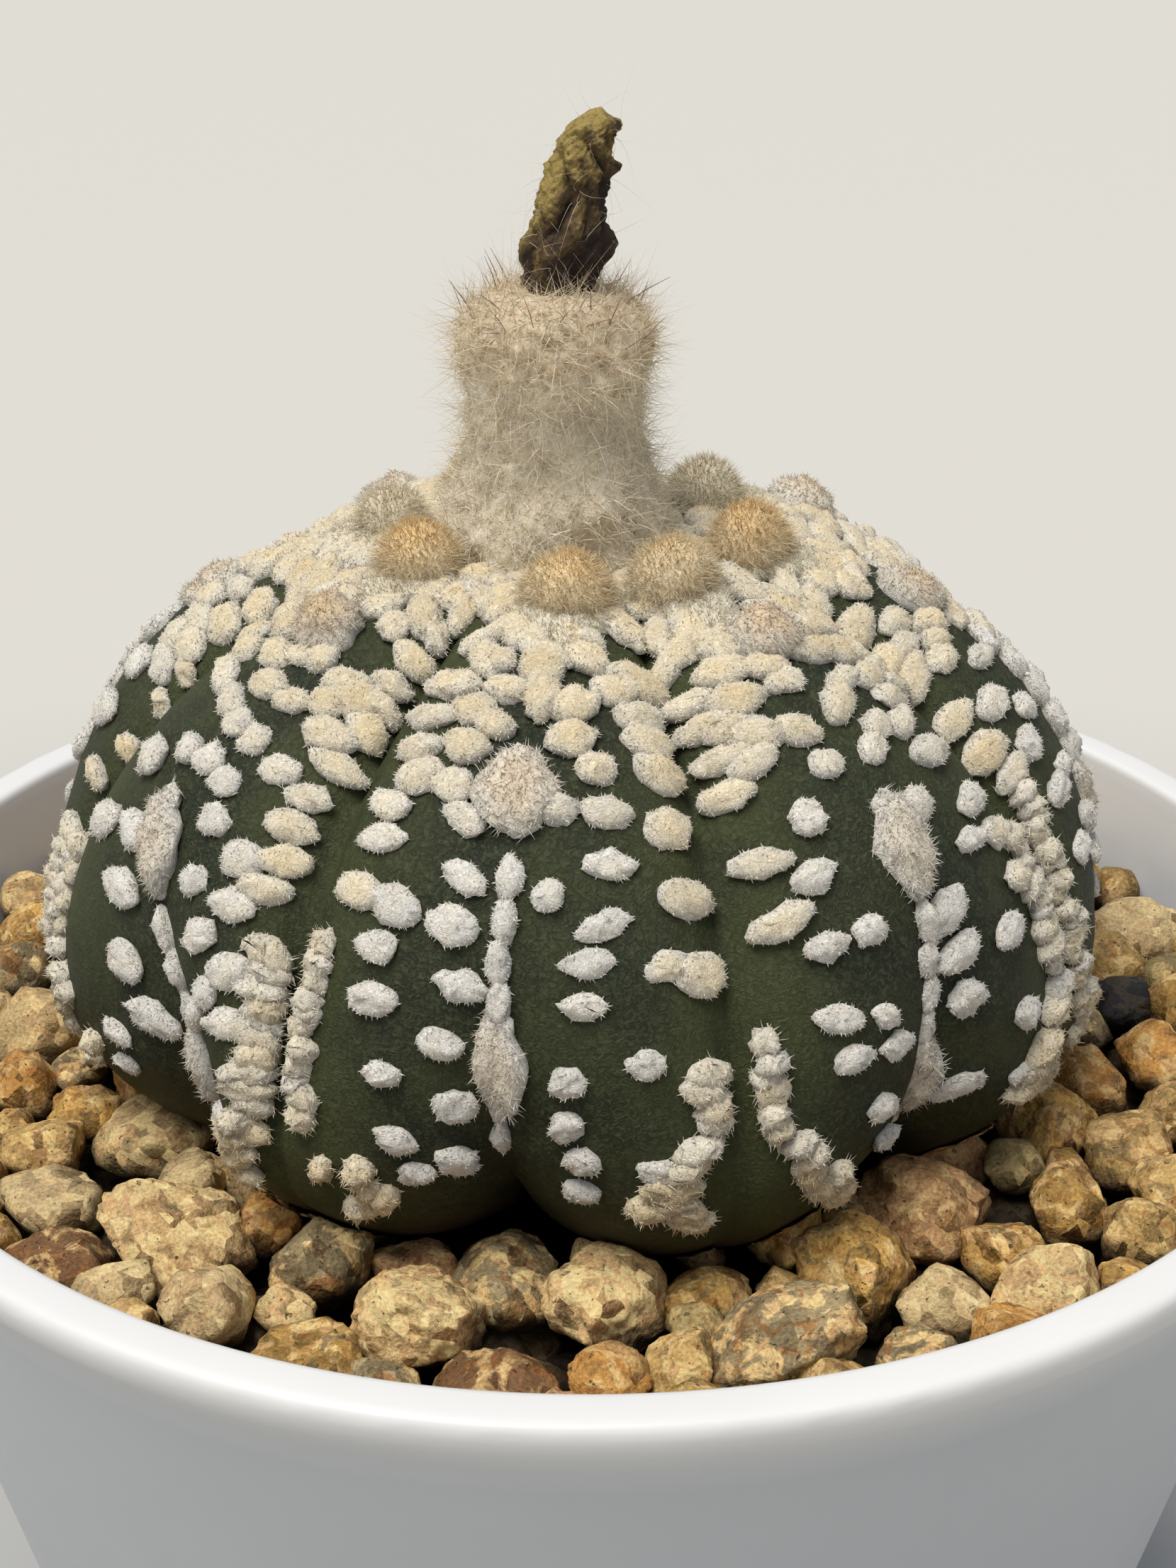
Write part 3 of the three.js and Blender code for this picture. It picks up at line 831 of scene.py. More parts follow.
def tuft_grower(segments: int, rings: int) -> Grower:
    """Return the tree that stands a felted pad on each point of a cloud.

    Each point carries facing, size and comb vectors, and spin, warm and taper numbers. A pad
    is warmest on its top, narrows towards both ends by its taper, and has its most and longest
    hairs round its foot.

    Args:
        segments: how many sides a pad has.
        rings: how many rows of faces it has from top to bottom.

    Returns:
        The tree.
    """
    made = Grower("tufts", {"Lumps": 0.35, "Lump Size": 1.1, "Fray": 0.1, "Edge Warmth": 0.3,
                            "Top Fluff": 0.15})
    web, inputs = made.web, made.inputs
    ball = web.node("GeometryNodeMeshUVSphere", None, {
        "Segments": segments, "Rings": rings, "Radius": 1.0,
    })["Mesh"]
    axes = web.axes(made.place())
    # rise climbs from a pad's foot to its top: the wool's finish paints the foot darker as shade,
    # and the pad's warmth follows it.
    ball = made.store(ball, "rise", (axes["Z"] * 0.8 + 0.25).clamp())
    top = (axes["Z"] > 0.5) * (1 - inputs["Top Fluff"])
    ball = made.store(ball, "fluff", (axes["Z"] > 0.02) * (1 - top))
    ball = made.store(ball, "reach", 1.1 - axes["Z"] * 0.4)
    ball = made.store(ball, "end", axes["Y"] * axes["Y"])
    ball = made.store(ball, "flank", axes["X"])
    size = made.field("size", "FLOAT_VECTOR")
    turn = made.standing(made.field("facing", "FLOAT_VECTOR"),
                         made.field("comb", "FLOAT_VECTOR"), made.field("spin"))
    sideways = web.node("FunctionNodeRotateVector", None, {
        "Vector": web.join(X=web.axes(size)["X"] * MM), "Rotation": turn,
    })["Vector"]
    spots = made.store(inputs["Geometry"], "sideways", sideways, kind="FLOAT_VECTOR")
    domes = web.node("GeometryNodeInstanceOnPoints", None, {
        "Points": spots, "Instance": ball, "Scale": web.vector("SCALE", size, MM),
        "Rotation": turn,
    })["Instances"]
    domes = made.store(domes, "tint", made.random(0.0, 1.0, 3), "INSTANCE")
    real = made.real(domes)
    rise = made.field("rise")
    share = inputs["Edge Warmth"] + (1 - inputs["Edge Warmth"]) * rise * rise
    real = made.store(real, "warm", made.field("warm") * share)
    lumps = web.node("ShaderNodeTexNoise", None, {
        "Vector": made.place(), "Scale": 1 / (inputs["Lump Size"] * MM), "Detail": 2.0,
    })["Color"]
    push = web.vector("SCALE", web.vector("SUBTRACT", lumps, (0.5, 0.5, 0.5)),
                      inputs["Lumps"] * 2 * MM)
    slim = 0 - made.field("taper") * made.field("end") * made.field("flank")
    push = web.vector("ADD", push, web.vector("SCALE", made.field("sideways", "FLOAT_VECTOR"),
                                              slim))
    stray = made.random((-1.0,) * 3, (1.0,) * 3, 17, "FLOAT_VECTOR")
    push = web.vector("ADD", push, web.vector("SCALE", stray, inputs["Fray"] * MM))
    real = made.move(real, push)
    made.close(web.node("GeometryNodeSetShadeSmooth", None, {"Geometry": real})["Geometry"])
    return made


# The plant

class Half(Enum):
    """The kinds of half rib, by how their flecks lie."""

    FANNED = "fanned"
    OPEN = "open"
    STRIPED = "striped"
    SPARSE = "sparse"
    CROWDED = "crowded"
    BARE = "bare"
    LEANING = "leaning"
    RAGGED = "ragged"


@dataclass(frozen=True)
class Lane:
    """A line of flecks down a half rib.

    It runs from top to bottom, in degrees down from the crown. begin and end are its places
    there, from 0 on the crest to 0.5 in the groove; long and wide are half a fleck's size.
    """

    top: float
    bottom: float
    count: int
    begin: float
    end: float
    long: float
    wide: float


LANES: dict[Half, tuple[Lane, ...]] = {
    Half.FANNED: (
        Lane(16, 22, 3, 0.32, 0.22, 1.5, 0.8), Lane(25, 62, 8, 0.31, 0.38, 1.6, 0.95),
        Lane(38, 70, 6, 0.27, 0.26, 1.5, 1.1), Lane(27, 36, 3, 0.14, 0.08, 1.3, 0.9),
        Lane(47, 97, 8, 0.1, 0.12, 1.3, 0.95), Lane(79, 94, 3, 0.25, 0.2, 1.1, 0.8),
        Lane(24, 44, 5, 0.2, 0.18, 1.4, 1.0)),
    Half.OPEN: (
        Lane(21, 32, 3, 0.03, 0.05, 1.6, 0.9), Lane(22, 37, 4, 0.2, 0.15, 1.4, 1.1),
        Lane(20, 66, 11, 0.38, 0.43, 1.95, 1.15), Lane(42, 64, 5, 0.23, 0.21, 1.4, 0.9),
        Lane(47, 55, 2, 0.12, 0.1, 1.15, 0.95), Lane(62, 92, 3, 0.35, 0.3, 1.3, 0.85),
        Lane(70, 97, 5, 0.15, 0.18, 1.1, 0.85), Lane(23, 42, 6, 0.29, 0.3, 1.6, 1.05)),
    Half.STRIPED: (
        Lane(24, 62, 10, 0.43, 0.36, 1.9, 0.9), Lane(20, 43, 6, 0.25, 0.28, 1.7, 1.05),
        Lane(30, 48, 5, 0.07, 0.14, 1.3, 0.95), Lane(51, 80, 5, 0.24, 0.27, 1.3, 0.9),
        Lane(66, 97, 5, 0.17, 0.13, 1.2, 0.85), Lane(25, 46, 6, 0.34, 0.33, 1.7, 0.95),
        Lane(19, 30, 3, 0.14, 0.12, 1.4, 1.0)),
    Half.SPARSE: (
        Lane(17, 28, 3, 0.36, 0.41, 1.7, 1.05), Lane(42, 67, 5, 0.27, 0.38, 2.0, 0.9),
        Lane(20, 36, 4, 0.22, 0.16, 1.6, 0.95), Lane(37, 92, 9, 0.07, 0.1, 1.55, 1.0),
        Lane(60, 94, 4, 0.22, 0.27, 1.3, 0.85), Lane(24, 44, 6, 0.3, 0.29, 1.8, 1.0),
        Lane(26, 40, 5, 0.42, 0.43, 1.6, 0.9), Lane(31, 42, 4, 0.12, 0.16, 1.3, 0.9)),
    Half.CROWDED: (
        Lane(20, 60, 11, 0.45, 0.4, 1.65, 0.9), Lane(20, 77, 10, 0.24, 0.31, 1.45, 1.0),
        Lane(33, 80, 9, 0.13, 0.19, 1.2, 0.95), Lane(34, 50, 4, 0.04, 0.07, 1.3, 1.0),
        Lane(78, 96, 3, 0.07, 0.16, 1.4, 0.8), Lane(22, 50, 7, 0.34, 0.36, 1.6, 1.0)),
    Half.BARE: (
        Lane(17, 36, 5, 0.34, 0.4, 1.7, 1.1), Lane(21, 31, 3, 0.18, 0.18, 1.8, 1.15),
        Lane(35, 49, 3, 0.08, 0.06, 1.35, 1.0), Lane(52, 84, 5, 0.17, 0.1, 1.7, 1.0),
        Lane(38, 66, 3, 0.24, 0.27, 2.1, 1.05), Lane(82, 96, 3, 0.14, 0.2, 1.1, 0.75),
        Lane(20, 36, 5, 0.27, 0.29, 1.5, 1.0)),
    Half.LEANING: (
        Lane(21, 62, 9, 0.42, 0.43, 1.85, 1.05), Lane(17, 72, 8, 0.28, 0.3, 1.6, 1.0),
        Lane(20, 78, 8, 0.12, 0.16, 1.6, 0.9), Lane(82, 94, 2, 0.1, 0.18, 1.1, 0.8),
        Lane(22, 46, 6, 0.35, 0.36, 1.8, 1.0), Lane(22, 38, 4, 0.2, 0.21, 1.5, 0.95)),
    Half.RAGGED: (
        Lane(20, 48, 7, 0.41, 0.34, 1.9, 1.05), Lane(46, 65, 4, 0.45, 0.43, 1.4, 0.65),
        Lane(17, 58, 8, 0.22, 0.22, 1.8, 1.1), Lane(66, 92, 4, 0.14, 0.2, 1.3, 0.9),
        Lane(20, 40, 6, 0.3, 0.31, 1.7, 1.0), Lane(20, 38, 4, 0.1, 0.13, 1.5, 1.0)),
}


@dataclass(frozen=True)
class Rib:
    """One rib: how its halves are flecked, its youngest areole and the older ones.

    young_side is how far the youngest areole stands beside the crest, groove_wool is where the
    wool starts in the groove to the rib's right, and gold is how golden the young wool is.
    """

    left: Half
    right: Half
    young: float
    areoles: tuple[float, ...]
    young_side: float = 0.0
    groove_wool: float = 74.0
    gold: float = 0.9


RIBS = (
    Rib(Half.FANNED, Half.OPEN, 17, (44, 77), 0.1, 76),
    Rib(Half.STRIPED, Half.SPARSE, 16, (27, 56, 88), -0.15, 60, 0.75),
    Rib(Half.LEANING, Half.CROWDED, 16, (34, 72), -0.2, 70, 0.95),
    Rib(Half.STRIPED, Half.OPEN, 15, (30, 58, 86), 0.0, 80, 0.3),
    Rib(Half.FANNED, Half.RAGGED, 16, (28, 50, 78), 0.05, 66, 0.7),
    Rib(Half.OPEN, Half.STRIPED, 15, (34, 62, 90), -0.05, 84, 0.8),
    Rib(Half.CROWDED, Half.RAGGED, 17, (40, 72), 0.0, 72, 0.35),
    Rib(Half.BARE, Half.CROWDED, 16.5, (29, 61, 90), -0.08, 66, 0.95),
)


@dataclass(frozen=True)
class PlantForm:
    """The rule that gives the plant's surface: the frame's, with one rib leant to the front."""

    first_rib: float = math.radians(-7.2)
    x: float = -0.7
    y: float = 1.2
    equator_z: float = RIM_Z + 2.6
    radius: float = 36.6
    dome: float = 26.5
    belly: float = 18.6
    shoulder: float = 0.9
    crown: float = 0.97
    dip: float = 1.6
    dip_angle: float = 14.0
    groove: float = 3.4
    crease: float = 6.5
    leaning_rib: int = 7
    lean: float = 0.22

    def _leant(self, angle: Array, depth: Array) -> Array:
        """Return where an evenly spaced angle really lies, as one rib leans."""
        pitch = 2 * math.pi / len(RIBS)
        off = (angle - self.first_rib) / pitch - self.leaning_rib
        off -= len(RIBS) * np.round(off / len(RIBS))
        near = np.clip(1 - (2 * off) ** 2, 0, 1) ** 2
        return angle + self.lean * pitch * near * smooth(depth, 52, 88)

    def points(self, angle: Numbers, depth: Numbers, proud: float = 0.0) -> Array:
        """Work out points on the surface.

        Args:
            angle: the way round from the front to the right, in radians, as if no rib leant.
            depth: degrees down from the crown.
            proud: how far outside the skin the points lie.

        Returns:
            The points, as x, y and z in the last row.
        """
        angle, depth = np.broadcast_arrays(np.asarray(angle, float), np.asarray(depth, float))
        s, c = np.sin(np.radians(depth)), np.cos(np.radians(depth))
        upper = depth < 90
        place = (angle - self.first_rib) / (2 * math.pi / len(RIBS))
        across = np.abs(place - np.round(place))
        groove = self.groove * smooth(depth, 4, 34) * (1 - 0.72 * smooth(depth, 66, 112))
        groove_shape = (0.55 * (1 - np.cos(np.pi * across))
                        + 0.45 * np.exp(-(0.5 - across) / 0.05))
        crease = self.crease * smooth(depth, 46, 122)
        crease_shape = (0.75 * (1 - np.sin(np.pi * across))
                        + 0.25 * np.exp(-across / 0.06))
        inward = groove * groove_shape + crease * crease_shape
        girth = np.where(upper, np.abs(s) ** self.shoulder, s)
        r = self.radius * girth - inward * (0.35 + 0.65 * s) + proud * s
        rise = np.where(upper, self.dome * np.abs(c) ** self.crown, self.belly * c)
        z = (rise - inward * c * 0.55 - self.dip * np.exp(-((depth / self.dip_angle) ** 2))
             + proud * c)
        turn = self._leant(angle, depth)
        return np.stack([self.x + r * np.sin(turn), self.y - r * np.cos(turn),
                         self.equator_z + z], -1)

    def stand(self, rib: Numbers, across: Numbers,
              depth: Numbers) -> tuple[Array, Array, Array]:
        """Find places on the skin.

        Args:
            rib: the rib's number, 0 for the front one.
            across: the place across it, from -0.5 to 0.5.
            depth: degrees down from the crown.

        Returns:
            The points, their outward directions and their downhill directions.
        """
        angle = self.first_rib + (rib + across) * 2 * math.pi / len(RIBS)
        here = self.points(angle, depth)
        down = self.points(angle, np.asarray(depth) + 0.5) - here
        round_ = self.points(angle + 0.01, depth) - here
        out = np.cross(down, round_)
        out /= np.linalg.norm(out, axis=-1, keepdims=True)
        down /= np.linalg.norm(down, axis=-1, keepdims=True)
        return here, out, down


@dataclass
class Tufts:
    """A list of felted pads that stand on the plant, a little proud of its skin."""

    form: PlantForm
    proud: float = 0.12
    rows: list[tuple[float, ...]] = field(default_factory=list)

    def add(self, rib: float, across: float, depth: float, wide: float, long: float,
            tall: float, spin: float, warm: float, taper: float) -> None:
        """Add a pad at a place on a rib.

        Args:
            rib: the rib's number.
            across: the place across it, from -0.5 to 0.5.
            depth: degrees down from the crown.
            wide: half its width.
            long: half its length, which runs downhill before the spin.
            tall: its height.
            spin: its turn on the skin, in radians, anticlockwise from outside.
            warm: how warm its wool is, from 0 to 1.
            taper: how much it narrows to both ends, from 0 to 1.
        """
        self.rows.append((rib, across, depth, wide, long, tall, spin, warm, taper))

    def cloud(self, back: bool | None) -> bpy.types.Object:
        """Make the points that a tuft tree stands its pads on.

        Args:
            back: True for the three ribs at the back, False for the others, None for all.

        Returns:
            An object of points with no faces.
        """
        table = np.array(self.rows, float)
        if back is not None:
            table = table[(np.abs(table[:, 0] - 4) < 1.5) == back]
        here, out, down = self.form.stand(table[:, 0], table[:, 1], table[:, 2])
        return mesh_object("points", here + self.proud * out, np.empty((0, 3), int), {
            "facing": out, "comb": down, "size": table[:, 3:6], "spin": table[:, 6],
            "warm": table[:, 7], "taper": table[:, 8],
        })

    def grow(self, pattern: str, wool: bpy.types.Material, detail: tuple[int, int],
             felt: dict[str, float], hair: dict[str, float],
             back: bool | None = None) -> list[bpy.types.Object]:
        """Make the pads and the short straight hairs on them.

        Args:
            pattern: the pieces' names, with {} where they say felt or hair.
            wool: the finish of both.
            detail: how many sides and rows of faces a pad has.
            felt: sizes for the tuft tree.
            hair: sizes for the strand tree.
            back: which ribs are meant, as for the points.

        Returns:
            The pads and the hairs.
        """
        cloud = self.cloud(back)
        pads = tuft_grower(*detail).grow(cloud, pattern.format("felt"), wool, **felt)
        hairs = strand_grower(1).grow(pads, pattern.format("hair"), wool, **hair)
        bpy.data.objects.remove(cloud)
        return [pads, hairs]


@dataclass
class Cactus:
    """The ribbed body with its flecks, older areoles and the wool in its grooves."""

    form: PlantForm
    sides: int = 8 * 30
    rows: int = 90
    lowest: float = 142.0
    beads: int = 9
    bead_pitch: float = 4.9
    wool_pitch: float = 2.1
    wool_end: float = 106.0
    root: tuple[tuple[float, float], ...] = ((9, -15), (6.5, -26), (3.2, -36), (0.6, -38))
    wool: bpy.types.Material = field(init=False)

    def __post_init__(self) -> None:
        """Make the wool's finish, which the flecks and the grooves share."""
        self.wool = WoolFinish("fleck_wool", WHITE_TO_CREAM, 0.85).material()

    def skin(self) -> bpy.types.Object:
        """Return the skin, down to the taproot."""
        angle = self.form.first_rib + turns(self.sides)
        depth = np.linspace(1.2, self.lowest, self.rows)
        rings = self.form.points(angle[None, :], depth[:, None])
        centre = np.array([self.form.x, self.form.y, self.form.equator_z])
        out = rings - centre
        out /= np.linalg.norm(out, axis=-1, keepdims=True)
        flat = rings.reshape(-1, 3)
        uneven = 0.12 * swell(flat, 16, 3) + 0.05 * swell(flat, 5, 4)
        fade = smooth(depth, 4, 25)[:, None]
        rings = rings + out * (uneven.reshape(rings.shape[:2]) * fade)[..., None]
        roots = [np.stack([self.form.x + r * np.sin(angle), self.form.y - r * np.cos(angle),
                           np.full(self.sides, RIM_Z + z)], -1) for r, z in self.root]
        stack = np.concatenate([rings, np.array(roots)])
        points, triangles = loft(stack)
        place = np.arange(self.sides) / (self.sides / len(RIBS))
        groove = smooth(np.abs(place - np.round(place)), 0.18, 0.44)
        piece = mesh_object("cactus_skin", points, triangles, {
            "groove": np.append(np.tile(groove, len(stack)), (0.0, 0.0)),
        })
        piece.data.materials.append(SkinFinish().material(RIM_Z - 4))
        return piece

    def _flecks(self, tufts: Tufts) -> None:
        """Add the flecks of each half rib, which fan out from the crest like fish bones."""
        for number, rib in enumerate(RIBS):
            spots: list[tuple[Array, float]] = []
            for half, side in ((rib.left, -1), (rib.right, 1)):
                for row, lane in enumerate(LANES[half]):
                    for k in range(lane.count):
                        self._fleck(tufts, spots, (number, side, row, k))

    def _fleck(self, tufts: Tufts, spots: list[tuple[Array, float]],
               key: tuple[int, int, int, int]) -> None:
        """Add one fleck, if it is clear of the areoles and of the rib's flecks before it.

        Args:
            tufts: the list that the fleck is added to.
            spots: the places and half widths of the rib's flecks so far, which it joins too.
            key: the rib's number, -1 or 1 for its left or right half, the lane and the place
                in the lane.
        """
        number, side, row, k = key
        rib = RIBS[number]
        lane = LANES[rib.left if side < 0 else rib.right][row]
        a, b, c, d = (draw(k + 13 * row + 90 * t, number * 2 + side) - 0.5 for t in range(4))
        share = k / (lane.count - 1) + 0.6 * b / lane.count
        depth = lane.top + (lane.bottom - lane.top) * share
        away = max(lane.begin + (lane.end - lane.begin) * share + 0.055 * a, 0)
        if min(abs(depth - z) for z in rib.areoles) < 3.6 and away < 0.1:
            return
        wide, long = lane.wide * (1.1 + 0.34 * d), lane.long * (1.06 + 0.44 * c)
        here = self.form.stand(number, side * away, depth)[0]
        reach = 0.62 + 0.33 * float(smooth(depth, 36, 50))
        if any(np.linalg.norm(here - spot) < reach * (wide + other) for spot, other in spots):
            return
        spots.append((here, wide))
        fan = (123 - 115 * away) * float(smooth(depth, 14, 36)) + 36 * b
        groove = float(smooth(away, 0.27, 0.4) * smooth(depth, 92, 60))
        young = float(smooth(depth, 56, 34))
        warm = 0.46 * max(young, groove) * (1 + 0.7 * d) + 0.1 * (a + 0.5)
        tufts.add(number, side * away, depth, wide, long, 0.6 + 0.14 * d + 0.2 * young,
                  side * math.radians(fan), warm, 0.02 + 0.3 * (c + 0.5))

    def _crown_pads(self, tufts: Tufts) -> None:
        """Add the pads that close the skin round the young areoles."""
        rows = ((9.0, (-0.25, 0.25)), (12.5, (-0.5, -0.3, 0.3)), (17.0, (-0.5, -0.38, 0.38)),
                (23.0, (-0.02, 0.1, -0.1)), (27.0, (0.0, -0.2)), (31.0, (0.04,)))
        for number, rib in enumerate(RIBS):
            for row, (depth, places) in enumerate(rows):
                for k, across in enumerate(places):
                    a, b, c = (draw(row * 9 + k + 50 * t, number + 3) for t in range(3))
                    if min(abs(depth - z) for z in rib.areoles) < 5 and abs(across) < 0.15:
                        continue
                    tufts.add(number, across + 0.05 * (a - 0.5), depth + 2 * (b - 0.5),
                              1.1 + 0.35 * a, 1.5 + 0.6 * b, 0.6 + 0.3 * c,
                              -across * 2.2 + 0.9 * (c - 0.5), 0.4 + 0.3 * a, 0.35 * b)

    def _beads(self, tufts: Tufts) -> None:
        """Add the chain of beads down each crest."""
        for number, rib in enumerate(RIBS):
            for k in range(self.beads):
                depth = rib.areoles[-2] + 5.2 + self.bead_pitch * k
                if min(abs(depth - areole) for areole in (*rib.areoles, rib.young)) < 5.6:
                    continue
                a, b = draw(k, number + 21), draw(k + 30, number + 21)
                thin = 1 - 0.3 * float(smooth(depth, 55, 92))
                tufts.add(number, 0.02 * (a - 0.5), depth, (0.78 + 0.12 * a) * thin,
                          1.42 + 0.16 * b, (0.72 + 0.16 * b) * thin, 0.24 * (b - 0.5),
                          0.05 * a, 0.42)

    def flecks(self) -> list[bpy.types.Object]:
        """Return the felted flecks and their short hairs, finer in front than at the back."""
        tufts = Tufts(self.form)
        self._flecks(tufts)
        self._crown_pads(tufts)
        self._beads(tufts)
        LOG.info("%d flecks", len(tufts.rows))
        felt = {"Lumps": 0.48, "Lump_Size": 0.85, "Fray": 0.07, "Edge_Warmth": 0.1,
                "Top_Fluff": 0.1}
        hair = {"Length": 0.4, "Width": 0.07, "Lift": 0.8, "Spread": 0.8, "Comb": 0.0,
                "Sink": 0.3, "Seed": 4}
        return [
            *tufts.grow("fleck_{}_front", self.wool, (16, 8), felt, {"Density": 27.0, **hair},
                        False),
            *tufts.grow("fleck_{}_back", self.wool, (10, 6), felt, {"Density": 8.0, **hair},
                        True),
        ]

    def groove_wool(self) -> list[bpy.types.Object]:
        """Return the matted wool in the lower grooves, in a column on each side of the line."""
        tufts = Tufts(self.form)
        for number, rib in enumerate(RIBS):
            for column, (side, width, lag) in enumerate(((-1, 1.5, 3.0), (1, 0.9, 0.0))):
                start = rib.groove_wool + lag
                for k in range(int((self.wool_end - start) / self.wool_pitch)):
                    depth = start + self.wool_pitch * k
                    a, b, c = (draw(k + 40 * t, number * 2 + column + 42) for t in range(3))
                    spread = float(smooth(depth, 84, 98))
                    if a < 0.15 * spread:
                        continue
                    away = 0.07 + 0.03 * (b - 0.5) + 0.2 * spread * c
                    tufts.add(number, 0.5 + side * away, depth + 0.9 * (c - 0.5),
                              0.75 + 0.35 * a, width * (0.85 + 0.45 * b), 0.6 + 0.6 * c,
                              math.pi / 2 + 0.9 * (c - 0.5), 0.12 + 0.36 * a + 0.3 * spread,
                              0.3 * b)
        return tufts.grow(
            "groove_{}", self.wool, (14, 7),
            {"Lumps": 0.5, "Lump_Size": 0.7, "Fray": 0.12, "Edge_Warmth": 0.6, "Top_Fluff": 0.5},
            {"Density": 12.5, "Length": 0.75, "Width": 0.06, "Lift": 0.6, "Spread": 0.8,
             "Comb": 0.2, "Sink": 0.3, "Seed": 6})

    def areoles(self) -> list[bpy.types.Object]:
        """Return the woolly older areoles, the lower ones drawn out along the crest."""
        tufts = Tufts(self.form)
        for number, rib in enumerate(RIBS):
            for k, depth in enumerate(rib.areoles):
                size = 1.0 + 0.12 * draw(number, k + 9)
                young = float(smooth(depth, 50, 42))
                crown = float(smooth(depth, 38, 30))
                warm = 0.42 + 0.22 * young + 0.4 * crown * (1 - draw(number, k + 3))
                tufts.add(number, 0.0, depth, (1.8 + 0.45 * young) * size,
                          (3.0 - 0.6 * young - 0.3 * crown) * size, (1.1 + 0.8 * crown) * size,
                          0.5 * (draw(number, k + 15) - 0.5), warm, 0.62 - 0.35 * young
                          - 0.25 * crown)
                if young < 0.5:
                    for step in (-1, 1):
                        tufts.add(number, 0.0, depth + step * 3.9 * size, 0.9 * size,
                                  1.4 * size, 0.6, 0.0, 0.08, 0.4)
        return tufts.grow(
            "areole_{}", WoolFinish("areole_wool", WHITE_TO_FAWN, 0.8).material(), (20, 12),
            {"Lumps": 0.85, "Lump_Size": 1.6, "Fray": 0.08, "Edge_Warmth": 0.0,
             "Top_Fluff": 0.9},
            {"Density": 21.0, "Length": 0.8, "Width": 0.05, "Lift": 0.45, "Spread": 0.8,
             "Comb": 0.1, "Sink": 0.2, "Seed": 9})

    def build(self) -> None:
        """Make and place every piece of the body."""
        settle(self.skin(), "skin", "cactus_body")
        for piece in (*self.flecks(), *self.groove_wool(), *self.areoles()):
            settle(piece, "skin", "cactus_body")


@dataclass
class Crown:
    """The golden wool of the young areoles round the foot of the fruit."""

    form: PlantForm
    radius: float = 2.5
    height: float = 3.3

    def build(self) -> None:
        """Make and place the crown's wool."""
        wool = WoolFinish("crown_gold", CREAM_TO_GOLD, 0.84).material()
        tufts, pads = Tufts(self.form), Tufts(self.form)
        for number, rib in enumerate(RIBS):
            size = (0.86 + 0.14 * rib.gold) * (0.97 + 0.08 * draw(number, 31))
            side = rib.young_side
            tufts.add(number, side, rib.young, self.radius * size * 1.1, self.radius * size,
                      self.height * size, 0.0, rib.gold, 0.0)
            for k in range(7):
                a, b = draw(k, number + 61), draw(k + 9, number + 61)
                turn = (k - 3) * 0.5
                pads.add(number, side + 0.19 * math.sin(turn) + 0.03 * (a - 0.5),
                         rib.young + 6.2 * math.cos(turn) + 1.5 * (b - 0.5) - 1.0,
                         1.15 + 0.3 * a, 1.5 + 0.5 * b, 0.8, -turn, 0.05, 0.2)
        felt = {"Lumps": 0.4, "Lump_Size": 1.1, "Edge_Warmth": 0.55, "Top_Fluff": 0.8}
        hair = {"Width": 0.036, "Lift": 0.8, "Spread": 0.45, "Comb": 0.0, "Seed": 12}
        for piece in (
            *tufts.grow("crown_tuft_{}", wool, (28, 18), felt,
                        {"Density": 30.0, "Length": 1.2, **hair}),
            *pads.grow("crown_pad_{}", wool, (14, 8), felt,
                       {"Density": 28.0, "Length": 0.85, **hair}),
        ):
            settle(piece, "wool", "crown_wool")


